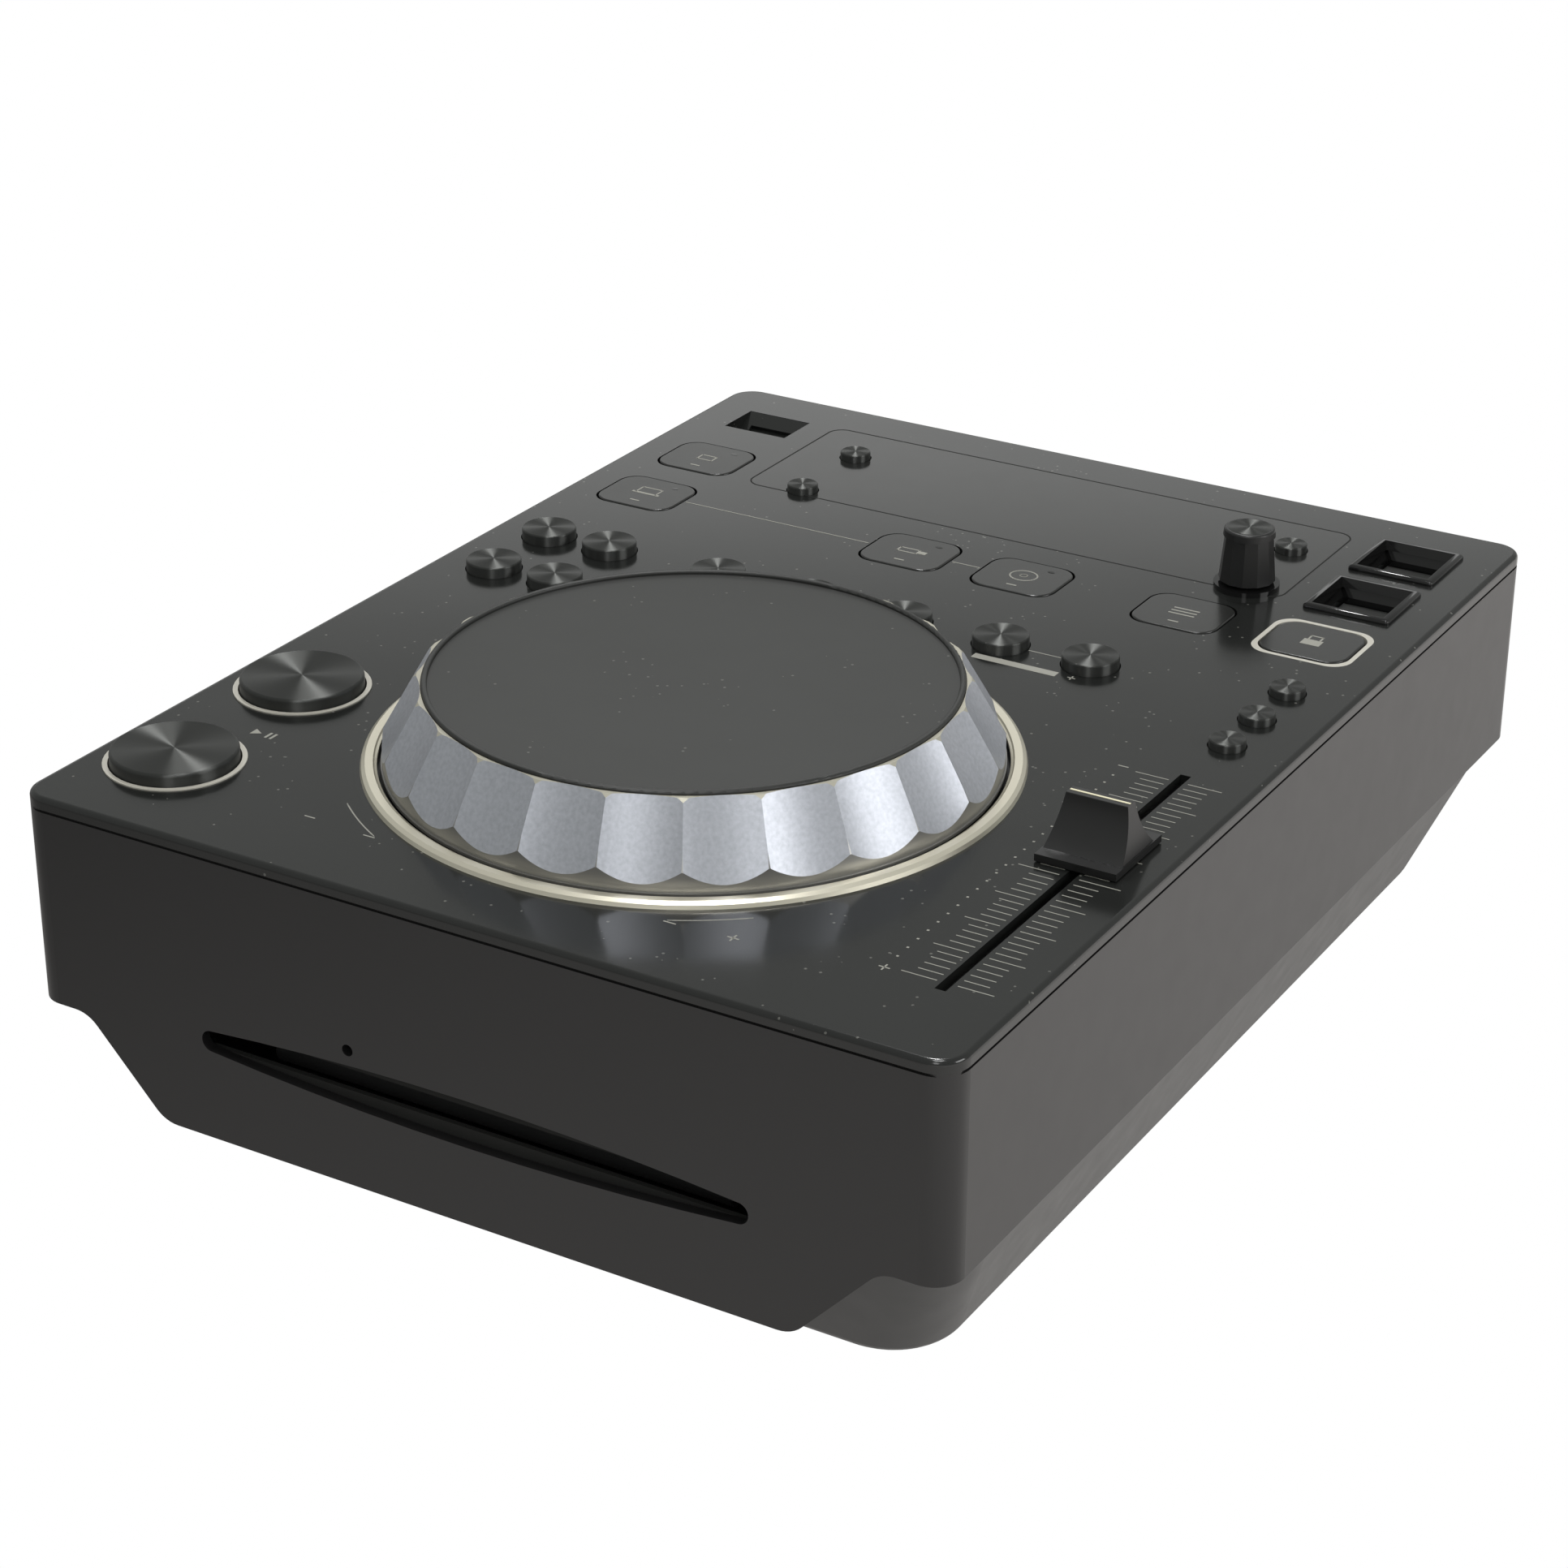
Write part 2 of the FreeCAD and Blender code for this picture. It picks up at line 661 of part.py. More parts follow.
# Trim ring round the jog dial: a rounded metal band with a fine step.
ti = val("trim_inner")
to = val("trim_outer")
th = val("trim_height")
points = [Vec(ti, 0, 0), Vec(ti, 0, th * 0.6), Vec(ti + 0.5, 0, th * 0.75), Vec(ti + 0.8, 0, th),
          Vec(to - 1.1, 0, th), Vec(to - 0.3, 0, th * 0.6), Vec(to, 0, 0), Vec(ti, 0, 0)]
ring_face = Part.Face(Part.makePolygon(points))
trim = ring_face.revolve(Vec(0, 0, 0), Vec(0, 0, 1), 360)
node(feature("jog_trim_ring", trim, "jog_x", "jog_y", "panel_top"), "jog_trim_ring")

# Jog dial: a hollow metal ring with concave scallops over a shallow cove.
br = val("jog_base_radius")
lift = val("jog_lift")
cusp = val("jog_cusp_height")
sr = val("jog_shoulder_radius")
sh = val("jog_shoulder_height")
pr = val("jog_plate_radius")
hub = val("jog_hub_radius")
shaft = val("jog_shaft_radius")
plate_floor = val("jog_top_height") - 2.7
edges = [
    Part.makePolygon([Vec(pr + 0.1, 0, plate_floor), Vec(pr + 0.1, 0, sh + 0.9), Vec(sr - 1, 0, sh + 0.9),
                      Vec(sr, 0, sh), Vec(br - 0.2, 0, cusp)]).Edges,
    [Part.Arc(Vec(br - 0.2, 0, cusp), Vec(br - 1.9, 0, (cusp + lift + 0.8) / 2), Vec(br, 0, lift + 0.8)).toShape()],
    Part.makePolygon([Vec(br, 0, lift + 0.8), Vec(br, 0, lift), Vec(br - 4, 0, lift), Vec(br - 4, 0, cusp),
                      Vec(pr - 2.5, 0, plate_floor - 2.2), Vec(hub, 0, plate_floor - 2.2), Vec(hub, 0, lift + 0.6),
                      Vec(shaft, 0, lift + 0.6), Vec(shaft, 0, plate_floor), Vec(pr + 0.1, 0, plate_floor)]).Edges,
]
profile = Part.Wire([edge for part_edges in edges for edge in part_edges])
dial = Part.Face(profile).revolve(Vec(0, 0, 0), Vec(0, 0, 1), 360)
lean = math.degrees(math.atan2(br - 0.2 - sr, sh - cusp))
count = int(val("jog_facets"))
radius = val("scallop_radius")
depth = val("scallop_depth")
middle = (br - 0.2 + sr) / 2
tools = []
for i in range(count):
    tool = Part.makeCylinder(radius, 60, Vec(0, 0, -30), Vec(0, 0, 1))
    tool.rotate(Vec(0, 0, 0), Vec(0, 1, 0), -lean)
    tool.translate(Vec(middle - depth + radius / math.cos(math.radians(lean)), 0, (sh + cusp) / 2))
    tool.rotate(Vec(0, 0, 0), Vec(0, 0, 1), 360.0 * i / count)
    tools.append(tool)
guard = Part.makeCylinder(90, 40, Vec(0, 0, cusp - 2.2), Vec(0, 0, 1))
crown = Part.makeCylinder(90, 40, Vec(0, 0, sh + 0.05), Vec(0, 0, 1))
band = guard.cut(crown)
for tool in tools:
    dial = dial.cut(tool.common(band))
node(feature("jog_ring", dial, "jog_x", "jog_y", "panel_top"), "jog_ring")

# Black top plate of the dial with its thin raised rim.
plate_low = "panel_top + jog_top_height - 2.7"
disc = rod("jog_disc", "jog_plate_radius", "2.7", "jog_x", "jog_y", plate_low)
dish = rod("jog_dish", "jog_plate_radius - jog_rim_width", "3", "jog_x", "jog_y", "panel_top + jog_top_height - 0.8")
disc = cut("jog_plate_body", disc, [dish])
node(fillet("jog_plate", disc, "rim_round", at_height(val("panel_top") + val("jog_top_height"))), "jog_plate")

# Dial shaft with its slotted reading disc, and the bearing plate under the panel.
shaft_low = "panel_top - 15"
stem = rod("jog_stem", "jog_shaft_radius", "15 + jog_top_height - 2.7", "jog_x", "jog_y", shaft_low)
reader = rod("jog_reader", "encoder_disc_radius", "1", "jog_x", "jog_y", shaft_low + " + 1.5")
node(fuse("jog_shaft", [stem, reader]), "jog_shaft")
bearing = rod("bearing_disc", "trim_outer + 1.5", "bearing_thickness", "jog_x", "jog_y", UNDER + " - bearing_thickness")
boss = rod("bearing_boss", "bearing_boss_radius", "13", "jog_x", "jog_y", "panel_top - 12.3")
bearing = fuse("bearing_body", [bearing, boss])
bearing_bore = rod("bearing_bore", "jog_shaft_radius + bore_gap", "30", "jog_x", "jog_y", "panel_top - 20")
node(cut("jog_bearing", bearing, [bearing_bore]), "jog_bearing")

# Tempo slider: a knob with hollowed slopes, its carriage, and the frame it runs in.
knob_low = "panel_top + slide_gap"
knob = taper("tempo_knob_body", "tempo_knob_width / 2", "tempo_knob_length / 2", "tempo_ridge_width / 2",
             "tempo_ridge_length / 2", "tempo_knob_height - slide_gap", "tempo_x", "tempo_rest_y", knob_low)
front_dish = lying("tempo_front_dish", "tempo_scoop_radius", "60", "tempo_x - 30",
                   "tempo_rest_y - tempo_ridge_length / 2 - tempo_scoop_radius", "panel_top + tempo_knob_height + 1.6", "x")
rear_dish = lying("tempo_rear_dish", "tempo_scoop_radius", "60", "tempo_x - 30",
                  "tempo_rest_y + tempo_ridge_length / 2 + tempo_scoop_radius", "panel_top + tempo_knob_height + 1.6", "x")
skirt = box("tempo_knob_skirt", "tempo_knob_width", "tempo_knob_length", "1.6", "tempo_x", "tempo_rest_y", knob_low)
knob = cut("tempo_knob_waist", knob, [front_dish, rear_dish])
knob = fuse("tempo_knob_full", [knob, skirt])
socket = box("tempo_socket", "1.6", "4", "8", "tempo_x", "tempo_rest_y", "panel_top - 1")
node(cut("tempo_knob", knob, [socket]), "tempo_knob")
tongue = box("tempo_tongue", "1.6", "4", "19", "tempo_x", "tempo_rest_y", "panel_top - 12")
shoe = box("tempo_shoe", "6.4", "11", "4", "tempo_x", "tempo_rest_y", "panel_top - 12")
node(fuse("tempo_carriage", [tongue, shoe]), "tempo_carriage")
frame_out = box("tempo_frame_out", "11", "tempo_slot_length + 14", "11", "tempo_x", "tempo_slot_y", UNDER + " - 11")
frame_in = box("tempo_frame_in", "6.4 + 2 * bore_gap", "tempo_slot_length + 8", "10", "tempo_x", "tempo_slot_y", UNDER + " - 9.6")
node(cut("tempo_frame", frame_out, [frame_in]), "tempo_frame")

# Selector: an encoder below the window, a push shaft and a faceted knob.
encoder = box("encoder_case", "12", "12", "7", "selector_x", "selector_y", "panel_board_top")
bush = rod("encoder_bush", "4.4", "panel_top - panel_board_top", "selector_x", "selector_y", "panel_board_top")
encoder_bore = rod("encoder_bore", "selector_shaft_radius + bore_gap", "30", "selector_x", "selector_y", "panel_board_top + 0.6")
node(cut("selector_encoder", fuse("encoder_body", [encoder, bush]), [encoder_bore]), "selector_encoder")
stem = rod("selector_stem", "selector_shaft_radius", "20", "selector_x", "selector_y", "panel_board_top + 0.6 + key_travel + 0.4")
node(stem, "selector_shaft")
grip_low = "panel_top + selector_collar_height + 0.8"
grip = cone("selector_grip", "selector_base_radius", "selector_top_radius", "selector_height - 0.8", "selector_x",
            "selector_y", grip_low)
grip = fillet("selector_soft", grip, "selector_cap_round",
              at_height(val("panel_top") + val("selector_collar_height") + val("selector_height")))
flats = []
facets = int(val("selector_facets"))
for i in range(facets):
    tool = Part.makeBox(10, 12, val("selector_height") - 2.4, Vec(0, -6, 0))
    tool.rotate(Vec(0, 0, 0), Vec(0, 1, 0), -5)
    tool.translate(Vec(val("selector_base_radius") - 0.55, 0, 0.5))
    tool.rotate(Vec(0, 0, 0), Vec(0, 0, 1), 360.0 * i / facets)
    flats.append(tool)
flat_tool = feature("selector_flats", Part.makeCompound(flats), "selector_x", "selector_y",
                    "panel_top + selector_collar_height")
grip_bore = rod("selector_bore", "selector_shaft_radius + bore_gap", "9.6", "selector_x", "selector_y", "panel_top")
node(cut("selector_knob", cut("selector_flatted", grip, [flat_tool]), [grip_bore]), "selector_knob")

# Stick socket: a sloping scoop in the panel that leads into a metal port under it.
scoop = box("scoop_body", "scoop_width", "scoop_depth", "scoop_block", "scoop_x", "scoop_y", "panel_top - scoop_block")
ramp = doc.addObject("Part::Wedge", "scoop_ramp")
bind(ramp, "Xmin", 0)
bind(ramp, "Xmax", "scoop_width - 2.4")
bind(ramp, "X2min", 0)
bind(ramp, "X2max", "scoop_width - 2.4")
bind(ramp, "Ymin", 0)
bind(ramp, "Ymax", "scoop_depth - 2")
bind(ramp, "Zmin", 0)
bind(ramp, "Zmax", "scoop_drop + 0.6")
bind(ramp, "Z2min", "scoop_drop - 0.1")
bind(ramp, "Z2max", "scoop_drop + 0.6")
place(ramp, "scoop_x - scoop_width / 2 + 1.2", "scoop_y - scoop_depth / 2 + 1", "panel_top - scoop_drop")
ramp.recompute()


def leaning_box(name, width, length, height, back):
    # A box along the port's own slope; back is how far its rear end lies behind the mouth.
    ob = doc.addObject("Part::Box", name)
    bind(ob, "Length", width)
    bind(ob, "Width", length)
    bind(ob, "Height", height)
    ob.Placement = FreeCAD.Placement(Vec(0, 0, 0), FreeCAD.Rotation(Vec(1, 0, 0), val("port_lean")))
    place(ob, "scoop_x - (%s) / 2" % width,
          "port_mouth_y + (%s - (%s)) * cos(port_lean * 1 deg) + (%s) / 2 * sin(port_lean * 1 deg)" % (back, length, height),
          "port_mouth_z + (%s - (%s)) * sin(port_lean * 1 deg) - (%s) / 2 * cos(port_lean * 1 deg)" % (back, length, height))
    ob.recompute()
    return ob


scoop_mouth = leaning_box("scoop_mouth", "port_width + 0.1", "port_length + 12", "port_height + 0.1", "10")
node(cut("stick_scoop", scoop, [ramp, scoop_mouth]), "stick_scoop")
port = leaning_box("port_out", "port_width", "port_length", "port_height", "0")
port_in = leaning_box("port_in", "port_width - 2 * port_wall", "port_length", "port_height - 2 * port_wall", "port_wall")
node(cut("stick_port", port, [port_in]), "stick_port")

# Disc mechanism: a folded deck on the tray's posts, motor, turntable, pickup and feed roller.
deck = box("deck_block", "deck_width", "deck_length", "deck_side_top - deck_floor", "disc_x", "disc_y", "deck_floor")
deck_in = box("deck_in", "deck_width - 2 * deck_sheet", "deck_length + 2 * deck_sheet", "60", "disc_x",
              "disc_y - 2 * deck_sheet", "deck_floor + deck_sheet")
deck_hub = rod("deck_hub_hole", "turntable_radius - 3", "10", "disc_x", "disc_y", "deck_floor - 5")
deck_path = box("deck_path", "16", "46", "10", "disc_x", "disc_y + 45", "deck_floor - 5")
holders = []
for i, sign in enumerate((-1, 1)):
    holders.append(box("rod_holder_%d" % i, "5", "4", "6", "disc_x + %d * rod_spread" % sign, "disc_y + 19",
                       "deck_floor + deck_sheet - 0.2"))
deck_open = cut("deck_open", deck, [deck_in, deck_hub, deck_path])
deck_full = fuse("deck_full", [deck_open] + holders)
rod_z = "deck_floor + deck_sheet + 3"
rod_start = "disc_y + 17"
rod_tools = []
rods = []
for i, sign in enumerate((-1, 1)):
    x = "disc_x + %d * rod_spread" % sign
    rods.append(lying("guide_rod_%d" % i, "rod_radius", "deck_length / 2 - 17", x, rod_start, rod_z, "y"))
    rod_tools.append(lying("rod_hole_%d" % i, "rod_radius", "deck_length / 2 - 17", x, rod_start, rod_z, "y"))
axle_hole = lying("roller_hole", "1 + bore_gap", "deck_width + 10", "disc_x - deck_width / 2 - 5", "roller_y",
                  "slot_z - roller_radius - 2.6", "x")
node(cut("drive_deck", deck_full, rod_tools + [axle_hole]), "drive_deck")
node(group("guide_rods", rods), "guide_rods")
motor = rod("motor_can", "motor_radius", "motor_height", "disc_x", "disc_y", "deck_floor - motor_height")
motor_bore = rod("motor_bore", "spindle_radius + bore_gap", "20", "disc_x", "disc_y", "deck_floor - motor_height + 2")
node(cut("spindle_motor", motor, [motor_bore]), "spindle_motor")
spindle = rod("spindle", "spindle_radius", "14", "disc_x", "disc_y", "deck_floor - motor_height + 2.4")
table = rod("table_disc", "turntable_radius", "1.6", "disc_x", "disc_y", "deck_floor + 5.5")
table_neck = rod("table_neck", "5", "7", "disc_x", "disc_y", "deck_floor + 0.3")
table_boss = cone("table_boss", "turntable_boss_radius", "turntable_boss_radius - 1.4", "2", "disc_x", "disc_y", "deck_floor + 7.1")
node(fuse("turntable", [spindle, table, table_neck, table_boss]), "turntable")
sled = box("sled_block", "2 * rod_spread + 8", "16", "5.4", "disc_x", "disc_y + 31", rod_z + " - 2.6")
sled_holes = []
for i, sign in enumerate((-1, 1)):
    sled_holes.append(lying("sled_hole_%d" % i, "rod_radius + bore_gap", "40", "disc_x + %d * rod_spread" % sign,
                            "disc_y + 17", rod_z, "y"))
sled = cut("sled_body", sled, sled_holes)
eye = rod("sled_eye", "3.2", "2", "disc_x", "disc_y + 31", rod_z + " + 2.6")
node(fuse("pickup_sled", [sled, eye]), "pickup_sled")
axle = lying("roller_axle", "1", "deck_width", "disc_x - deck_width / 2", "roller_y", "slot_z - roller_radius - 2.6", "x")
sleeve = lying("roller_sleeve", "roller_radius", "110", "disc_x - 55", "roller_y", "slot_z - roller_radius - 2.6", "x")
node(fuse("feed_roller", [axle, sleeve]), "feed_roller")

# Felt lips behind the disc slot.
lip_low = box("felt_low", "2 * slot_half_width + 4", "1.2", "4.2", "slot_x", "0.6 + case_wall - body_depth / 2", "slot_z - 6.8")
lip_high = box("felt_high", "2 * slot_half_width + 4", "1.2", "4.6", "slot_x", "0.6 + case_wall - body_depth / 2", "slot_z + 2.4")
node(group("slot_felt", [lip_low, lip_high]), "slot_felt")

# Rear sockets: mains inlet, sound and control sockets, link socket.
inner_face = "body_depth / 2 - case_wall"
inlet = box("inlet_body", "inlet_width - 2 * seat_gap", "18", "inlet_height - 2 * seat_gap", "inlet_x",
            "body_depth / 2 - rear_inset - 9", "inlet_z - inlet_height / 2 + seat_gap")
inlet_flange = box("inlet_flange", "inlet_width + 5", "1.6", "inlet_height + 4", "inlet_x",
                   inner_face + " - 0.8", "inlet_z - inlet_height / 2 - 2")
inlet_well = box("inlet_well", "inlet_width - 4", "14", "inlet_height - 4", "inlet_x",
                 "body_depth / 2 - rear_inset - 6.9", "inlet_z - inlet_height / 2 + 2")
inlet_shell = cut("inlet_shell", fuse("inlet_full", [inlet, inlet_flange]), [inlet_well])
pins = [inlet_shell]
for i, (dx, dz) in enumerate(((-7, -2.5), (0, 3.5), (7, -2.5))):
    pins.append(box("inlet_pin_%d" % i, "2", "11", "4", "inlet_x + %s" % dx, "body_depth / 2 - rear_inset - 9.2", "inlet_z + %s - 2" % dz))
node(fuse("mains_inlet", pins), "mains_inlet")
sound = box("sound_body", "sound_width - 2 * seat_gap", "16", "sound_height - 2 * seat_gap", "sound_x",
            "body_depth / 2 - rear_inset - 8", "sound_z - sound_height / 2 + seat_gap")
sound_flange = box("sound_flange", "sound_width + 4", "1.6", "sound_height + 4", "sound_x", inner_face + " - 0.8", "sound_z - sound_height / 2 - 2")
sound_tools = []
for i, dx in enumerate((-11, 2)):
    moat = lying("sound_moat_%d" % i, "5.4", "9", "sound_x + %s" % dx, "body_depth / 2 - rear_inset - 8.6", "sound_z", "y")
    barrel = lying("sound_barrel_%d" % i, "4.1", "12", "sound_x + %s" % dx, "body_depth / 2 - rear_inset - 10", "sound_z", "y")
    sound_tools.append(cut("sound_groove_%d" % i, moat, [barrel]))
    sound_tools.append(lying("sound_core_%d" % i, "1.6", "12", "sound_x + %s" % dx, "body_depth / 2 - rear_inset - 10", "sound_z", "y"))
sound_tools.append(lying("control_core", "1.8", "14", "sound_x + 13", "body_depth / 2 - rear_inset - 12", "sound_z", "y"))
node(cut("sound_sockets", fuse("sound_full", [sound, sound_flange]), sound_tools), "sound_sockets")
link = box("link_body", "link_width - 2 * seat_gap", "14", "link_height - 2 * seat_gap", "link_x",
           "body_depth / 2 - rear_inset - 7", "link_z - link_height / 2 + seat_gap")
link_flange = box("link_flange", "link_width + 4", "1.6", "link_height + 4", "link_x", inner_face + " - 0.8", "link_z - link_height / 2 - 2")
link_hollow = box("link_hollow", "8.4", "12", "7.6", "link_x", "body_depth / 2 - rear_inset - 5", "link_z - 3.8")
link_tongue = box("link_tongue", "5", "8", "3", "link_x", "body_depth / 2 - rear_inset - 7.4", "link_z - 1.5")
link_shell = cut("link_shell", fuse("link_full", [link, link_flange]), [link_hollow])
node(fuse("link_socket", [link_shell, link_tongue]), "link_socket")

# Boards: a main board on the tray posts, a key board hung under the panel.
main = box("main_board_sheet", "180", "92", "board_thickness", 0, "76", "main_board_bottom")
chips = [main]
for i, (cx, cy, cw, cd, ch) in enumerate(((-40, 84, 20, 20, 2.4), (6, 70, 28, 28, 3), (44, 96, 12, 18, 2.4),
                                          (-60, 52, 16, 30, 22), (60, 54, 24, 24, 6))):
    chips.append(box("chip_%d" % i, cw, cd, ch, cx, cy, "main_board_bottom + board_thickness - 0.1"))
node(fuse("main_board", chips), "main_board")
board_low = "panel_board_top - board_thickness"
sheet_rear = box("key_board_rear", "200", "118", "board_thickness", "-4", "75", board_low)
sheet_left = box("key_board_left", "30", "150", "board_thickness", "-89", "-56", board_low)
key_board = fuse("key_board_sheet", [sheet_rear, sheet_left])
port_clear = box("key_board_corner", "34", "20", "8", "94", "17", "panel_board_top - 4")
hangers = []
for i, (hx, hy) in enumerate(((-66, 46), (66, 46), (-100, 79.1), (72, 76), (-100, 48), (38, 76), (-92, -94), (-92, -26))):
    hangers.append(rod("hanger_%d" % i, "2.6", UNDER + " - panel_board_top + 0.4", hx, hy, "panel_board_top - 0.4"))
stick_clear = box("key_board_notch", "20", "40", "8", "scoop_x", "119", "panel_board_top - 4")
key_board = cut("key_board_cut", key_board, [port_clear, stick_clear])
node(fuse("key_board", [key_board] + hangers), "key_board")

# One short switch under each key, standing on the key board.
switches = []
switch_top = UNDER + " - slide_gap - key_flange_thickness - switch_gap"
for key, x, y in SMALL_KEYS + WINDOW_KEYS + PAD_KEYS + DOT_KEYS[:1]:
    switches.append(box(key + "_switch", "switch_side", "switch_side", switch_top + " - panel_board_top",
                        x, y, "panel_board_top"))
for key, y in (("cue", "cue_key_y"), ("play", "play_key_y")):
    switches.append(box(key + "_switch", "switch_side", "switch_side", switch_top + " - 1 - panel_board_top",
                        "big_key_x", y, "panel_board_top"))
for key, y in (("power", "power_well_y"), ("eject", "eject_well_y")):
    switches.append(box(key + "_switch", "switch_side", "switch_side",
                        "panel_top - well_sink - 3.2 - key_flange_thickness - switch_gap - panel_board_top",
                        "well_x", y, "panel_board_top"))
node(group("key_switches", switches), "key_switches")
doc.recompute()

# Every solid is looked at before it is written.
os.makedirs("parts", exist_ok=True)
for ob in doc.Objects:
    for state in ob.State:
        if "Invalid" in state or "Error" in state:
            raise RuntimeError("%s is %s" % (ob.Name, state))
for name, ob in NODES.items():
    if ob.Shape.isNull() or not ob.Shape.isValid():
        raise RuntimeError("%s has a bad shape" % name)
    ob.Shape.exportStep("parts/%s.step" % name)
print("%d nodes" % len(NODES))
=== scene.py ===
import json
import math

import bpy
from mathutils import Matrix, Vector


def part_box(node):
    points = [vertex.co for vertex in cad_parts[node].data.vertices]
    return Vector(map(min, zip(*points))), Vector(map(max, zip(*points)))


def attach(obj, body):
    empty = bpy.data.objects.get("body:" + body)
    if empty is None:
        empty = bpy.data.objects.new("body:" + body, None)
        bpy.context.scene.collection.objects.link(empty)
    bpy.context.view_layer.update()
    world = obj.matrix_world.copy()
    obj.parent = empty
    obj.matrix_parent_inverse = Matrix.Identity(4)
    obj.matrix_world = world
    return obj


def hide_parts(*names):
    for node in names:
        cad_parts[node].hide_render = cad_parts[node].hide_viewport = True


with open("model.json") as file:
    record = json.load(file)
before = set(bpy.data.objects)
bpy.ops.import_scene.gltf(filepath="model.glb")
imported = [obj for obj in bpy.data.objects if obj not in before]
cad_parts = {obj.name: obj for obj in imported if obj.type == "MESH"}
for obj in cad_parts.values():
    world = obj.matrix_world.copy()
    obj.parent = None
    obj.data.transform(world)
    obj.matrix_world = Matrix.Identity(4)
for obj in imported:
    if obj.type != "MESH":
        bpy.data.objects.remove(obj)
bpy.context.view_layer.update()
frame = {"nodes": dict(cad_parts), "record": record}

nodes = frame["nodes"]

# Places that several pieces share, in metres: the panel's upper face, the middle of the
# dial, and the faces of the rear sockets, which lie a little inside the case's rear.
# Print is a thin film that stands a hair above what it lies on.
mm = 0.001
panel_top = 0.086
dial_x, dial_y = 0.0007, -0.0572
case_rear, socket_inset, socket_height = 0.144, 0.0004, 0.060
socket_face = case_rear - socket_inset
print_thick, print_lift = 0.00006, 0.00001

# Finishes of the plain parts: dyed plastics, rubber, felt, circuit board, glossy frames
# and bare steel.  Each entry gives a colour, how rough it is and how metallic.
plain = {
    "case_satin": ((0.0142, 0.0137, 0.0139), 0.30, 0.0),
    "tray_matte": ((0.020, 0.0205, 0.020), 0.40, 0.0),
    "window_dark": ((0.016, 0.0165, 0.0155), 0.16, 0.0),
    "screen_module": ((0.03, 0.03, 0.03), 0.4, 0.0),
    "ring_clear": ((0.52, 0.50, 0.44), 0.3, 0.0),
    "bezel_gloss": ((0.006, 0.006, 0.006), 0.08, 0.0),
    "felt_black": ((0.008, 0.008, 0.007), 0.95, 0.0),
    "board_green": ((0.02, 0.10, 0.05), 0.4, 0.0),
    "switch_black": ((0.012, 0.012, 0.012), 0.45, 0.0),
    "foot_rubber": ((0.015, 0.015, 0.015), 0.8, 0.0),
    "knob_black": ((0.010, 0.010, 0.010), 0.36, 0.0),
    "pad_key_black": ((0.016, 0.0165, 0.0155), 0.22, 0.0),
    "well_key_grey": ((0.035, 0.036, 0.034), 0.4, 0.0),
    "bright_steel": ((0.55, 0.55, 0.54), 0.3, 1.0),
}
finishes = {}
for slot_name, (colour, rough, metal) in plain.items():
    finish = bpy.data.materials.new(slot_name)
    finish.use_nodes = True
    shader = finish.node_tree.nodes["Principled BSDF"]
    shader.inputs["Base Color"].default_value = (*colour, 1)
    shader.inputs["Roughness"].default_value = rough
    shader.inputs["Metallic"].default_value = metal
    # Moulded and rolled surfaces are never quite even.
    place = finish.node_tree.nodes.new("ShaderNodeTexCoord")
    grain = finish.node_tree.nodes.new("ShaderNodeTexNoise")
    grain.inputs["Scale"].default_value = 160
    grain.inputs["Detail"].default_value = 4
    spread = finish.node_tree.nodes.new("ShaderNodeMapRange")
    spread.inputs["To Min"].default_value = rough * 0.88
    spread.inputs["To Max"].default_value = min(rough * 1.12, 1)
    finish.node_tree.links.new(place.outputs["Object"], grain.inputs["Vector"])
    finish.node_tree.links.new(grain.outputs["Fac"], spread.inputs["Value"])
    finish.node_tree.links.new(spread.outputs["Result"], shader.inputs["Roughness"])
    finishes[slot_name] = finish

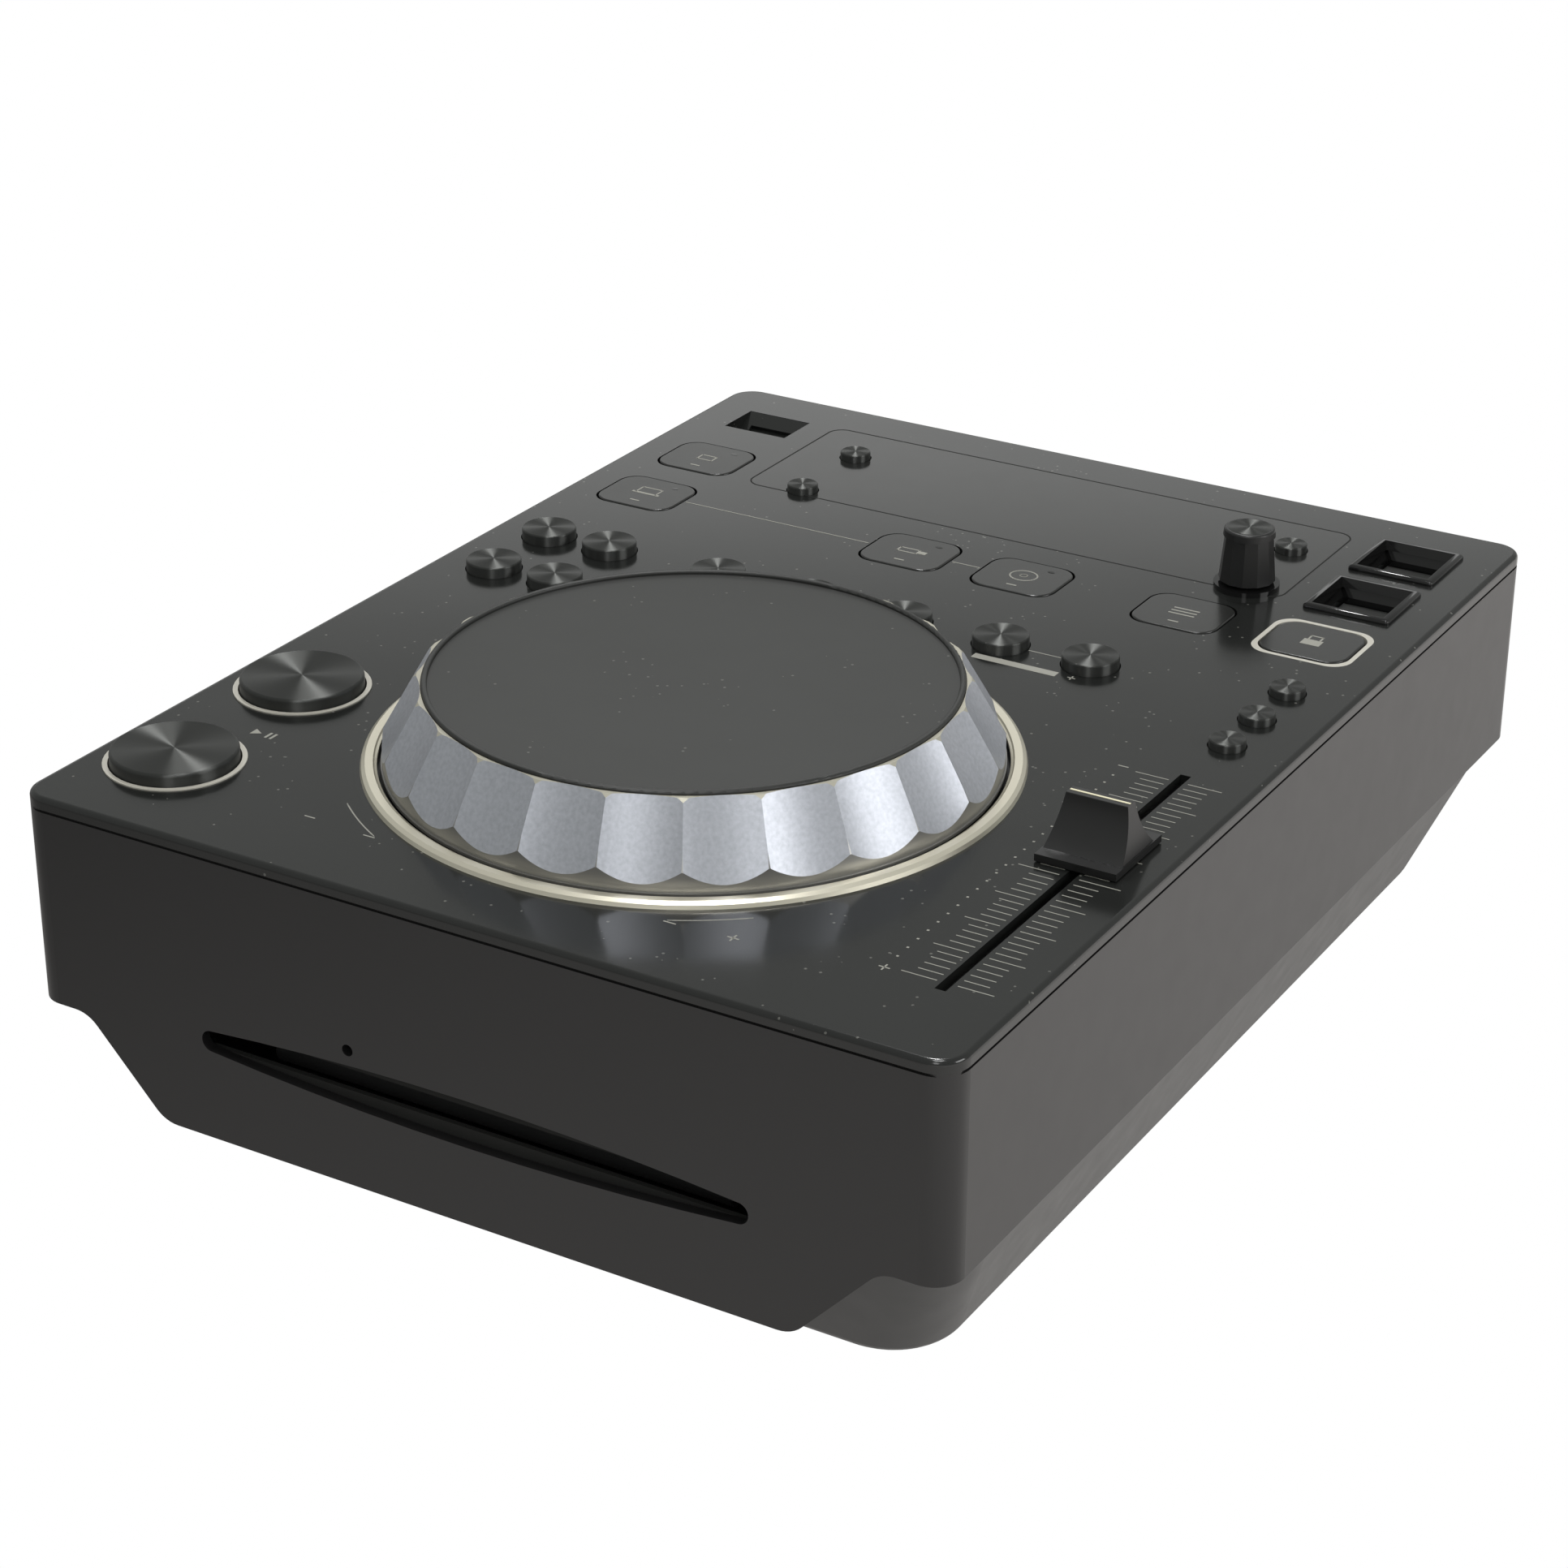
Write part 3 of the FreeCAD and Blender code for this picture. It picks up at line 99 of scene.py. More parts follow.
# The top panel is glossy and has been handled: pale dust specks lie on it, and its
# shine varies softly.  The dial's top plate wears the same dust on a duller skin.
for slot_name, colour, rough, amount in (
    ("panel_gloss", (0.0125, 0.0132, 0.0125), 0.15, 0.70),
    ("jog_black", (0.0165, 0.0172, 0.0158), 0.46, 0.76),
):
    finish = bpy.data.materials.new(slot_name)
    finish.use_nodes = True
    tree = finish.node_tree
    shader = tree.nodes["Principled BSDF"]
    place = tree.nodes.new("ShaderNodeTexCoord")
    specks = tree.nodes.new("ShaderNodeTexVoronoi")
    specks.inputs["Scale"].default_value = 420
    specks.inputs["Randomness"].default_value = 1
    tree.links.new(place.outputs["Object"], specks.inputs["Vector"])
    small = tree.nodes.new("ShaderNodeMath")
    small.operation = "LESS_THAN"
    small.inputs[1].default_value = 0.13
    tree.links.new(specks.outputs["Distance"], small.inputs[0])
    patch = tree.nodes.new("ShaderNodeTexNoise")
    patch.inputs["Scale"].default_value = 90
    tree.links.new(place.outputs["Object"], patch.inputs["Vector"])
    some = tree.nodes.new("ShaderNodeMath")
    some.operation = "GREATER_THAN"
    some.inputs[1].default_value = amount * 0.8
    tree.links.new(patch.outputs["Fac"], some.inputs[0])
    dust = tree.nodes.new("ShaderNodeMath")
    dust.operation = "MULTIPLY"
    tree.links.new(small.outputs["Value"], dust.inputs[0])
    tree.links.new(some.outputs["Value"], dust.inputs[1])
    tint = tree.nodes.new("ShaderNodeMix")
    tint.data_type = "RGBA"
    tint.inputs["A"].default_value = (*colour, 1)
    tint.inputs["B"].default_value = (0.11, 0.11, 0.10, 1)
    tree.links.new(dust.outputs["Value"], tint.inputs["Factor"])
    tree.links.new(tint.outputs["Result"], shader.inputs["Base Color"])
    haze = tree.nodes.new("ShaderNodeTexNoise")
    haze.inputs["Scale"].default_value = 22
    haze.inputs["Detail"].default_value = 5
    tree.links.new(place.outputs["Object"], haze.inputs["Vector"])
    spread = tree.nodes.new("ShaderNodeMapRange")
    spread.inputs["To Min"].default_value = rough * 0.85
    spread.inputs["To Max"].default_value = rough * 1.2
    tree.links.new(haze.outputs["Fac"], spread.inputs["Value"])
    tree.links.new(spread.outputs["Result"], shader.inputs["Roughness"])
    finishes[slot_name] = finish

# Trim ring: a narrow rounded band of pale warm metal that lies on the panel round the
# dial's foot, with a soft shine.
finish = bpy.data.materials.new("trim_metal")
finish.use_nodes = True
shader = finish.node_tree.nodes["Principled BSDF"]
shader.inputs["Base Color"].default_value = (0.80, 0.76, 0.63, 1)
shader.inputs["Metallic"].default_value = 0.85
shader.inputs["Roughness"].default_value = 0.33
finishes["trim_metal"] = finish

# Silver paint of the dial's scallops.  A fine metal fleck in it mixes a darker and a
# lighter grey.
silver_paint = bpy.data.materials.new("jog_silver")
silver_paint.use_nodes = True
tree = silver_paint.node_tree
shader = tree.nodes["Principled BSDF"]
place = tree.nodes.new("ShaderNodeTexCoord")
fleck = tree.nodes.new("ShaderNodeTexNoise")
fleck.inputs["Scale"].default_value = 1100
fleck.inputs["Detail"].default_value = 3
tree.links.new(place.outputs["Object"], fleck.inputs["Vector"])
silver = tree.nodes.new("ShaderNodeMix")
silver.data_type = "RGBA"
silver.inputs["A"].default_value = (0.36, 0.375, 0.41, 1)
silver.inputs["B"].default_value = (0.56, 0.58, 0.63, 1)
tree.links.new(fleck.outputs["Fac"], silver.inputs["Factor"])
tree.links.new(silver.outputs["Result"], shader.inputs["Base Color"])
shader.inputs["Metallic"].default_value = 0.72
shader.inputs["Roughness"].default_value = 0.43

# The dial's lower wall is a dark satin metal.  Its shoulder, round the top plate, is
# a warmer and paler one.
wall_dark = bpy.data.materials.new("jog_wall")
wall_dark.use_nodes = True
shader = wall_dark.node_tree.nodes["Principled BSDF"]
shader.inputs["Base Color"].default_value = (0.30, 0.297, 0.285, 1)
shader.inputs["Metallic"].default_value = 0.7
shader.inputs["Roughness"].default_value = 0.36
shoulder_warm = bpy.data.materials.new("jog_shoulder")
shoulder_warm.use_nodes = True
shader = shoulder_warm.node_tree.nodes["Principled BSDF"]
shader.inputs["Base Color"].default_value = (0.50, 0.48, 0.40, 1)
shader.inputs["Metallic"].default_value = 0.6
shader.inputs["Roughness"].default_value = 0.4

# Each CAD piece whose finish stands above takes it here, by its material slot.  The spun
# keys and the dial's ring get theirs further down.
for part in frame["record"]["subparts"]:
    finish = finishes.get(part["material_slot"])
    if finish:
        for holder in nodes[part["node"]].material_slots:
            holder.material = finish

# The selector knob has a thin disc of spun metal let into its top.  It turns and goes
# down with the knob.
disc_r, disc_thick, disc_sink = 0.0050, 0.0002, 0.00006
lo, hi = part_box("selector_knob")
bpy.ops.object.select_all(action="DESELECT")
bpy.ops.mesh.primitive_cylinder_add(vertices=96, radius=disc_r, depth=disc_thick,
                                    location=((lo[0] + hi[0]) / 2, (lo[1] + hi[1]) / 2, hi[2] - disc_sink))
bpy.ops.object.transform_apply(location=True, rotation=True, scale=True)
selector_disc = bpy.context.object
selector_disc.name = "selector_disc"
selector_disc.data.materials.append(finishes["knob_black"])
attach(selector_disc, "selector_grip")

# Round key tops are spun metal, as is the selector's disc: the fine rings run round each
# one's own middle, so the light fans out from it.
spun_keys = [part["node"] for part in frame["record"]["subparts"] if part["material_slot"] == "key_spun"]
for name in spun_keys + ["selector_knob"]:
    lo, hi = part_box(name)
    finish = bpy.data.materials.new("spun_" + name)
    finish.use_nodes = True
    tree = finish.node_tree
    shader = tree.nodes["Principled BSDF"]
    shader.inputs["Base Color"].default_value = (0.075, 0.077, 0.074, 1)
    shader.inputs["Metallic"].default_value = 0.9
    shader.inputs["Roughness"].default_value = 0.40
    shader.inputs["Anisotropic"].default_value = 1.0
    shader.inputs["Anisotropic Rotation"].default_value = 0.25
    spot = tree.nodes.new("ShaderNodeTexCoord")
    arm = tree.nodes.new("ShaderNodeVectorMath")
    arm.operation = "SUBTRACT"
    arm.inputs[1].default_value = ((lo[0] + hi[0]) / 2, (lo[1] + hi[1]) / 2, hi[2])
    tree.links.new(spot.outputs["Object"], arm.inputs[0])
    round_way = tree.nodes.new("ShaderNodeVectorMath")
    round_way.operation = "CROSS_PRODUCT"
    round_way.inputs[1].default_value = (0, 0, 1)
    tree.links.new(arm.outputs["Vector"], round_way.inputs[0])
    unit = tree.nodes.new("ShaderNodeVectorMath")
    unit.operation = "NORMALIZE"
    tree.links.new(round_way.outputs["Vector"], unit.inputs[0])
    tree.links.new(unit.outputs["Vector"], shader.inputs["Tangent"])
    worn_by = selector_disc if name == "selector_knob" else nodes[name]
    for holder in worn_by.material_slots:
        holder.material = finish

# Dial ring: a lathe-turned ring whose sloping side is cut by shallow round-bottomed
# scallops.  Their lower ends run down into the dark wall as a row of arcs, and their
# upper ends bite into the pale shoulder.
lift, foot_tall, cusp, shoulder, crown = 0.0004, 0.0007, 0.0056, 0.0170, 0.0181
foot_r, wall_r, slope_r, crown_r, bore_r = 0.0655, 0.0652, 0.0589, 0.0577, 0.0567
layers = []
for r_low, r_high, z_low, z_high, coat in (
    (foot_r, foot_r, lift, lift + foot_tall, wall_dark),
    (wall_r, wall_r, lift + foot_tall, cusp, wall_dark),
    (wall_r, slope_r, cusp, shoulder, wall_dark),
    (slope_r, crown_r, shoulder, crown, shoulder_warm),
):
    bpy.ops.object.select_all(action="DESELECT")
    bpy.ops.mesh.primitive_cone_add(vertices=288, radius1=r_low, radius2=r_high, depth=z_high - z_low,
                                    location=(dial_x, dial_y, panel_top + (z_low + z_high) / 2))
    bpy.ops.object.transform_apply(location=True, rotation=True, scale=True)
    layer = bpy.context.object
    layer.data.materials.append(coat)
    layers.append(layer)
cutters = []
lean = math.atan2(wall_r - slope_r, shoulder - cusp)
scallops, first_scallop = 24, 7.4
scallop_r, scallop_deep, cutter_long = 0.040, 0.00135, 0.11
reach = (wall_r + slope_r) / 2 + (scallop_r - scallop_deep) / math.cos(lean)
for i in range(scallops):
    a = math.radians(360 / scallops * i + first_scallop)
    cx, cy = dial_x + reach * math.cos(a), dial_y + reach * math.sin(a)
    bpy.ops.object.select_all(action="DESELECT")
    bpy.ops.mesh.primitive_cylinder_add(vertices=256, radius=scallop_r, depth=cutter_long,
                                        location=(cx, cy, panel_top + (cusp + shoulder) / 2),
                                        rotation=(0, -lean, a))
    cutters.append(bpy.context.object)
    cutters[-1].data.materials.append(silver_paint)
bpy.ops.object.select_all(action="DESELECT")
bpy.ops.mesh.primitive_cylinder_add(vertices=288, radius=bore_r, depth=0.06,
                                    location=(dial_x, dial_y, panel_top + 0.01))
bore = bpy.context.object
bore.data.materials.append(wall_dark)
dial = layers[0]
joins = [(layer, "UNION") for layer in layers[1:]]
cuts = [(cutter, "DIFFERENCE") for cutter in cutters + [bore]]
for other, kind in joins + cuts:
    bpy.ops.object.select_all(action="DESELECT")
    dial.select_set(True)
    bpy.context.view_layer.objects.active = dial
    step = dial.modifiers.new("shape", "BOOLEAN")
    step.operation = kind
    step.solver = "EXACT"
    step.material_mode = "TRANSFER"
    step.object = other
    bpy.ops.object.modifier_apply(modifier=step.name)
    bpy.data.objects.remove(other)
bpy.ops.object.shade_smooth_by_angle(angle=math.radians(12))
dial.name = "jog_dial_ring"
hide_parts("jog_ring")
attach(dial, "jog")

# Painted shade of the thin gap round the display window: flat dark strips laid on the panel in
# four straight runs and four rounded corners, each corner made of short strokes along an arc.
lo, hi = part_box("display_window")
bpy.ops.object.select_all(action="DESELECT")
corner, shade_strip_wide, shade_strip_thick = 0.004, 0.00038, 0.00005
middle_x, middle_y = (lo[0] + hi[0]) / 2, (lo[1] + hi[1]) / 2
long_run, short_run = hi[0] - lo[0] - 2 * corner, hi[1] - lo[1] - 2 * corner
runs = [(middle_x, lo[1], long_run, 0), (middle_x, hi[1], long_run, 0),
        (lo[0], middle_y, short_run, 90), (hi[0], middle_y, short_run, 90)]
for cx, cy, first in ((hi[0] - corner, hi[1] - corner, 0), (lo[0] + corner, hi[1] - corner, 90),
                      (lo[0] + corner, lo[1] + corner, 180), (hi[0] - corner, lo[1] + corner, 270)):
    for i in range(6):
        a = math.radians(first + 7.5 + 15 * i)
        runs.append((cx + corner * math.cos(a), cy + corner * math.sin(a), 0.0011, math.degrees(a) + 90))
strokes = []
for x, y, length, turn in runs:
    bpy.ops.mesh.primitive_cube_add(size=1, location=(x, y, panel_top + print_lift),
                                    rotation=(0, 0, math.radians(turn)),
                                    scale=(length, shade_strip_wide, shade_strip_thick))
    strokes.append(bpy.context.object)
for stroke in strokes:
    stroke.select_set(True)
bpy.context.view_layer.objects.active = strokes[0]
bpy.ops.object.join()
bpy.ops.object.transform_apply(location=True, rotation=True, scale=True)
shade_strip = bpy.context.object
shade_strip.name = "window_gap_shade"
# These flat strips wear the black felt finish and paint the shade of the gap; they are not a cut groove.
shade_strip.data.materials.append(finishes["felt_black"])
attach(shade_strip, "base")

# Frames of the power and eject wells: shiny rounded rims that stand a little proud
# of the panel, with an opening that narrows downwards.
rim_wide, rim_deep, rim_tall, rim_round = 0.0212, 0.0207, 0.0022, 0.0009
mouth_low, mouth_high, mouth_tall = 0.0079, 0.0091, 0.004
for name in ("power_key", "eject_key"):
    lo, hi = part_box(name)
    middle = ((lo[0] + hi[0]) / 2, (lo[1] + hi[1]) / 2, panel_top + 0.0001)
    bpy.ops.object.select_all(action="DESELECT")
    bpy.ops.mesh.primitive_cube_add(size=1, location=middle, scale=(rim_wide, rim_deep, rim_tall))
    bpy.ops.object.transform_apply(location=True, rotation=True, scale=True)
    rim = bpy.context.object
    bpy.ops.object.mode_set(mode="EDIT")
    bpy.ops.mesh.select_all(action="SELECT")
    bpy.ops.mesh.bevel(offset=rim_round, segments=4)
    bpy.ops.object.mode_set(mode="OBJECT")
    bpy.ops.object.select_all(action="DESELECT")
    bpy.ops.mesh.primitive_cone_add(vertices=4, radius1=mouth_low * math.sqrt(2),
                                    radius2=mouth_high * math.sqrt(2), depth=mouth_tall,
                                    location=middle, rotation=(0, 0, math.radians(45)))
    mouth = bpy.context.object
    bpy.ops.object.select_all(action="DESELECT")
    rim.select_set(True)
    bpy.context.view_layer.objects.active = rim
    step = rim.modifiers.new("mouth", "BOOLEAN")
    step.operation = "DIFFERENCE"
    step.solver = "EXACT"
    step.object = mouth
    bpy.ops.object.modifier_apply(modifier=step.name)
    bpy.data.objects.remove(mouth)
    bpy.ops.object.shade_smooth_by_angle(angle=math.radians(35))
    rim.name = name[:-4] + "_well_rim"
    rim.data.materials.append(finishes["bezel_gloss"])
    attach(rim, "base")

# Pale ink of the printed marks: a warm light grey, and duller than the panel that it
# lies on.
ink = bpy.data.materials.new("print_ink")
ink.use_nodes = True
shader = ink.node_tree.nodes["Principled BSDF"]
shader.inputs["Base Color"].default_value = (0.30, 0.295, 0.26, 1)
shader.inputs["Roughness"].default_value = 0.5

# Printed marks on the panel: the tempo scale, its row of dots, plus and minus signs,
# the lines that link keys, a plain bar, and the two arrows in front of the dial.  Each
# stroke gives its middle, length and width in millimetres, and its turn in degrees.
ticks, middle_tick, tick_step, tick_wide = 41, 20, 2.51, 0.24
scale_x, scale_rear_y, slot_half = 93.3, -16.6, 2.2
dots, dot_step, dot_wide = 24, 4.0, 0.5
dots_x, dots_rear_y, minus_y, plus_y = 80.2, -20.5, -15.6, -117.6
bars = []
for i in range(ticks):
    y = scale_rear_y - tick_step * i
    reach = 7.6 if i % 5 == 0 else 5.4
    if i == middle_tick:
        reach = 9
    bars.append((scale_x - slot_half - reach / 2, y, reach, tick_wide, 0))
    bars.append((scale_x + slot_half + reach / 2, y, reach, tick_wide, 0))
for i in range(dots):
    bars.append((dots_x, dots_rear_y - dot_step * i, dot_wide, dot_wide, 0))
bars.extend([
    (dots_x, minus_y, 2.4, 0.34, 0),
    (dots_x, plus_y, 2.4, 0.34, 0),
    (dots_x, plus_y, 2.4, 0.34, 90),
    (-52.2, 64.9, 51.6, 0.3, 0),
    (0.0, 64.9, 7.4, 0.3, 0),
    (39.8, 27.8, 8.2, 0.3, 0),
    (36.6, 19.2, 20.8, 2.4, 0),
    (50.6, 19.2, 1.9, 0.32, 0),
    (50.6, 19.2, 1.9, 0.32, 90),
    (-50.4, -122.4, 2.6, 0.36, 0),
    (50.0, -122.4, 2.6, 0.36, 0),
    (50.0, -122.4, 2.6, 0.36, 90),
])
arrow_r, arrow_half_turn, barb_lift = 74.2, 6, 0.9
for middle_angle, tip in ((235.7, 1), (304.3, -1)):
    for i in range(17):
        a = math.radians(middle_angle - arrow_half_turn + 0.75 * i)
        width = 0.30 if i % 16 else 0.2
        x, y = dial_x / mm + arrow_r * math.cos(a), dial_y / mm + arrow_r * math.sin(a)
        bars.append((x, y, 1.05, width, math.degrees(a) + 90))
    a = math.radians(middle_angle + arrow_half_turn * tip)
    barb_r = arrow_r + barb_lift
    x, y = dial_x / mm + barb_r * math.cos(a), dial_y / mm + barb_r * math.sin(a)
    bars.append((x, y, 2.8, 0.34, math.degrees(a) + 90 + 28 * tip))
bpy.ops.object.select_all(action="DESELECT")
strokes = []
for x, y, length, width, turn in bars:
    bpy.ops.mesh.primitive_cube_add(size=1, location=(x * mm, y * mm, panel_top + print_lift),
                                    rotation=(0, 0, math.radians(turn)),
                                    scale=(length * mm, width * mm, print_thick))
    strokes.append(bpy.context.object)
for stroke in strokes:
    stroke.select_set(True)
bpy.context.view_layer.objects.active = strokes[0]
bpy.ops.object.join()
bpy.ops.object.transform_apply(location=True, rotation=True, scale=True)
print_marks = bpy.context.object
print_marks.name = "panel_print"
print_marks.data.materials.append(ink)
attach(print_marks, "base")

# Play and pause signs beside the lower large button: a small triangle that points
# to the right, and two short upright bars next to it.
sign_y, sign_z = -0.0957, panel_top + print_lift
play_x, play_r, bar_wide, bar_long = -0.0850, 0.0015, 0.0006, 0.0026
bpy.ops.mesh.primitive_cylinder_add(vertices=3, radius=play_r, depth=print_thick,
                                    location=(play_x, sign_y, sign_z), rotation=(0, 0, math.radians(-90)))
play = bpy.context.object
pause_bars = []
for x in (-0.0817, -0.0804):
    bpy.ops.mesh.primitive_cube_add(size=1, location=(x, sign_y, sign_z),
                                    scale=(bar_wide, bar_long, print_thick))
    pause_bars.append(bpy.context.object)
bpy.ops.object.select_all(action="DESELECT")
for piece in pause_bars + [play]:
    piece.select_set(True)
bpy.context.view_layer.objects.active = play
bpy.ops.object.join()
bpy.ops.object.transform_apply(location=True, rotation=True, scale=True)
play.name = "play_pause_sign"
play.data.materials.append(ink)
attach(play, "base")

# Signs on the flat keys: a plain picture on each, with a short dash in front of it on all
# but the outermost at the right, whose picture is a padlock.  Strokes are in millimetres
# from the middle of the key.
signs = {
    "pad_key_left_rear": [
        (0, 1.6, 4.2, 0.4, 0), (0, -1.2, 4.2, 0.4, 0), (-2.1, 0.2, 0.4, 3.2, 0), (2.1, 0.2, 0.4, 3.2, 0),
    ],
    "pad_key_left": [
        (0, 3.0, 5.6, 0.4, 0), (-2.8, 1.2, 0.4, 3.8, 0), (2.8, 1.2, 0.4, 3.8, 0), (0, -0.6, 7.6, 0.8, 0),
    ],
    "pad_key_middle_left": [
        (-0.8, 1.6, 5.2, 0.4, 0), (-0.8, -0.6, 5.2, 0.4, 0), (-3.3, 0.5, 0.4, 2.6, 0),
        (1.8, 0.5, 0.4, 2.6, 0), (3.0, 0.5, 2.0, 1.5, 0),
    ],
    "pad_key_middle_right": [],
    "pad_key_right_inner": [(0, 2.0, 6.4, 0.5, 0), (0, 0.4, 6.4, 0.5, 0), (0, -1.2, 6.4, 0.5, 0)],
    "pad_key_right_outer": [
        (0, -0.6, 4.6, 3.0, 0), (-1.4, 1.9, 0.45, 2.2, 0), (1.4, 1.9, 0.45, 2.2, 0), (0, 3.0, 3.2, 0.45, 0),
    ],
}
for i in range(24):
    a = math.radians(15 * i)
    signs["pad_key_middle_right"].append((3.3 * math.cos(a), 0.7 + 2.9 * math.sin(a), 0.9, 0.4, 15 * i + 90))
    signs["pad_key_middle_right"].append((0.9 * math.cos(a), 0.7 + 0.8 * math.sin(a), 0.3, 0.3, 15 * i + 90))
for name, strokes_of_key in signs.items():
    lo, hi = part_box(name)
    cx, cy, top = (lo[0] + hi[0]) / 2, (lo[1] + hi[1]) / 2, hi[2]
    bpy.ops.object.select_all(action="DESELECT")
    strokes = []
    dash = [] if name == "pad_key_right_outer" else [(0, -5.6, 2.6, 0.5, 0)]
    for x, y, length, width, turn in strokes_of_key + dash:
        bpy.ops.mesh.primitive_cube_add(size=1, location=(cx + x * mm, cy + y * mm, top),
                                        rotation=(0, 0, math.radians(turn)),
                                        scale=(length * mm, width * mm, print_thick))
        strokes.append(bpy.context.object)
    for stroke in strokes:
        stroke.select_set(True)
    bpy.context.view_layer.objects.active = strokes[0]
    bpy.ops.object.join()
    bpy.ops.object.transform_apply(location=True, rotation=True, scale=True)
    sign = bpy.context.object
    sign.name = name + "_sign"
    sign.data.materials.append(ink)
    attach(sign, name)

# Unlit lamps: a small glossy black dot, wider than deep, in the top of four of the flat
# keys, towards the rear right corner.
lamp_right, lamp_back, lamp_r, lamp_thick = 0.0046, 0.0058, 0.0006, 0.0001
for name in ("pad_key_left_rear", "pad_key_left", "pad_key_middle_left", "pad_key_middle_right"):
    lo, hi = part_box(name)
    bpy.ops.object.select_all(action="DESELECT")
    lamp_x, lamp_y = (lo[0] + hi[0]) / 2 + lamp_right, (lo[1] + hi[1]) / 2 + lamp_back
    bpy.ops.mesh.primitive_cylinder_add(vertices=20, radius=lamp_r, depth=lamp_thick,
                                        location=(lamp_x, lamp_y, hi[2]), scale=(1.5, 0.8, 1))
    bpy.ops.object.transform_apply(location=True, rotation=True, scale=True)
    lamp = bpy.context.object
    lamp.name = name + "_lamp"
    lamp.data.materials.append(finishes["bezel_gloss"])
    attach(lamp, name)

# Power sign on the key in its well: a ring of short strokes along an arc, open to the
# rear, with an upright bar in the gap.
ring_r, ring_thick, stroke_long = 0.0018, 0.0004, 0.0006
lo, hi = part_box("power_key")
cx, cy, top = (lo[0] + hi[0]) / 2, (lo[1] + hi[1]) / 2, hi[2]
bpy.ops.object.select_all(action="DESELECT")
strokes = []
for i in range(19):
    a = math.radians(135 + 15 * i)
    x, y = cx + ring_r * math.cos(a), cy + ring_r * math.sin(a)
    bpy.ops.mesh.primitive_cube_add(size=1, location=(x, y, top), rotation=(0, 0, a + math.pi / 2),
                                    scale=(stroke_long, ring_thick, print_thick))
    strokes.append(bpy.context.object)
bpy.ops.mesh.primitive_cube_add(size=1, location=(cx, cy + 0.0015, top),
                                scale=(ring_thick, 0.0020, print_thick))
strokes.append(bpy.context.object)
for stroke in strokes:
    stroke.select_set(True)
bpy.context.view_layer.objects.active = strokes[0]
bpy.ops.object.join()
bpy.ops.object.transform_apply(location=True, rotation=True, scale=True)
power_sign = bpy.context.object
power_sign.name = "power_sign"
power_sign.data.materials.append(ink)
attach(power_sign, "power_key")

# Eject sign on the key in the other well: a triangle that points to the rear, over a
# flat bar.
lo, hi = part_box("eject_key")
cx, cy, top = (lo[0] + hi[0]) / 2, (lo[1] + hi[1]) / 2, hi[2]
bpy.ops.object.select_all(action="DESELECT")
bpy.ops.mesh.primitive_cylinder_add(vertices=3, radius=0.0019, depth=print_thick,
                                    location=(cx, cy + 0.0006, top))
arrow = bpy.context.object
bpy.ops.mesh.primitive_cube_add(size=1, location=(cx, cy - 0.0014, top),
                                scale=(0.0034, 0.0006, print_thick))
arrow.select_set(True)
bpy.context.view_layer.objects.active = arrow
bpy.ops.object.join()
bpy.ops.object.transform_apply(location=True, rotation=True, scale=True)
arrow.name = "eject_sign"
arrow.data.materials.append(ink)
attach(arrow, "eject_key")

# Pointer line along the ridge of the tempo knob: a thin cream stripe that shows where
# the knob stands on the scale.
pointer_long, pointer_wide, pointer_thick = 0.0132, 0.00055, 0.00016
lo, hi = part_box("tempo_knob")
bpy.ops.object.select_all(action="DESELECT")
bpy.ops.mesh.primitive_cube_add(size=1, location=((lo[0] + hi[0]) / 2, (lo[1] + hi[1]) / 2, hi[2]),
                                scale=(pointer_long, pointer_wide, pointer_thick))
bpy.ops.object.transform_apply(location=True, rotation=True, scale=True)
pointer = bpy.context.object
pointer.name = "tempo_pointer"
cream = bpy.data.materials.new("pointer_cream")
cream.use_nodes = True
cream.node_tree.nodes["Principled BSDF"].inputs["Base Color"].default_value = (0.78, 0.73, 0.52, 1)
pointer.data.materials.append(cream)
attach(pointer, "tempo")

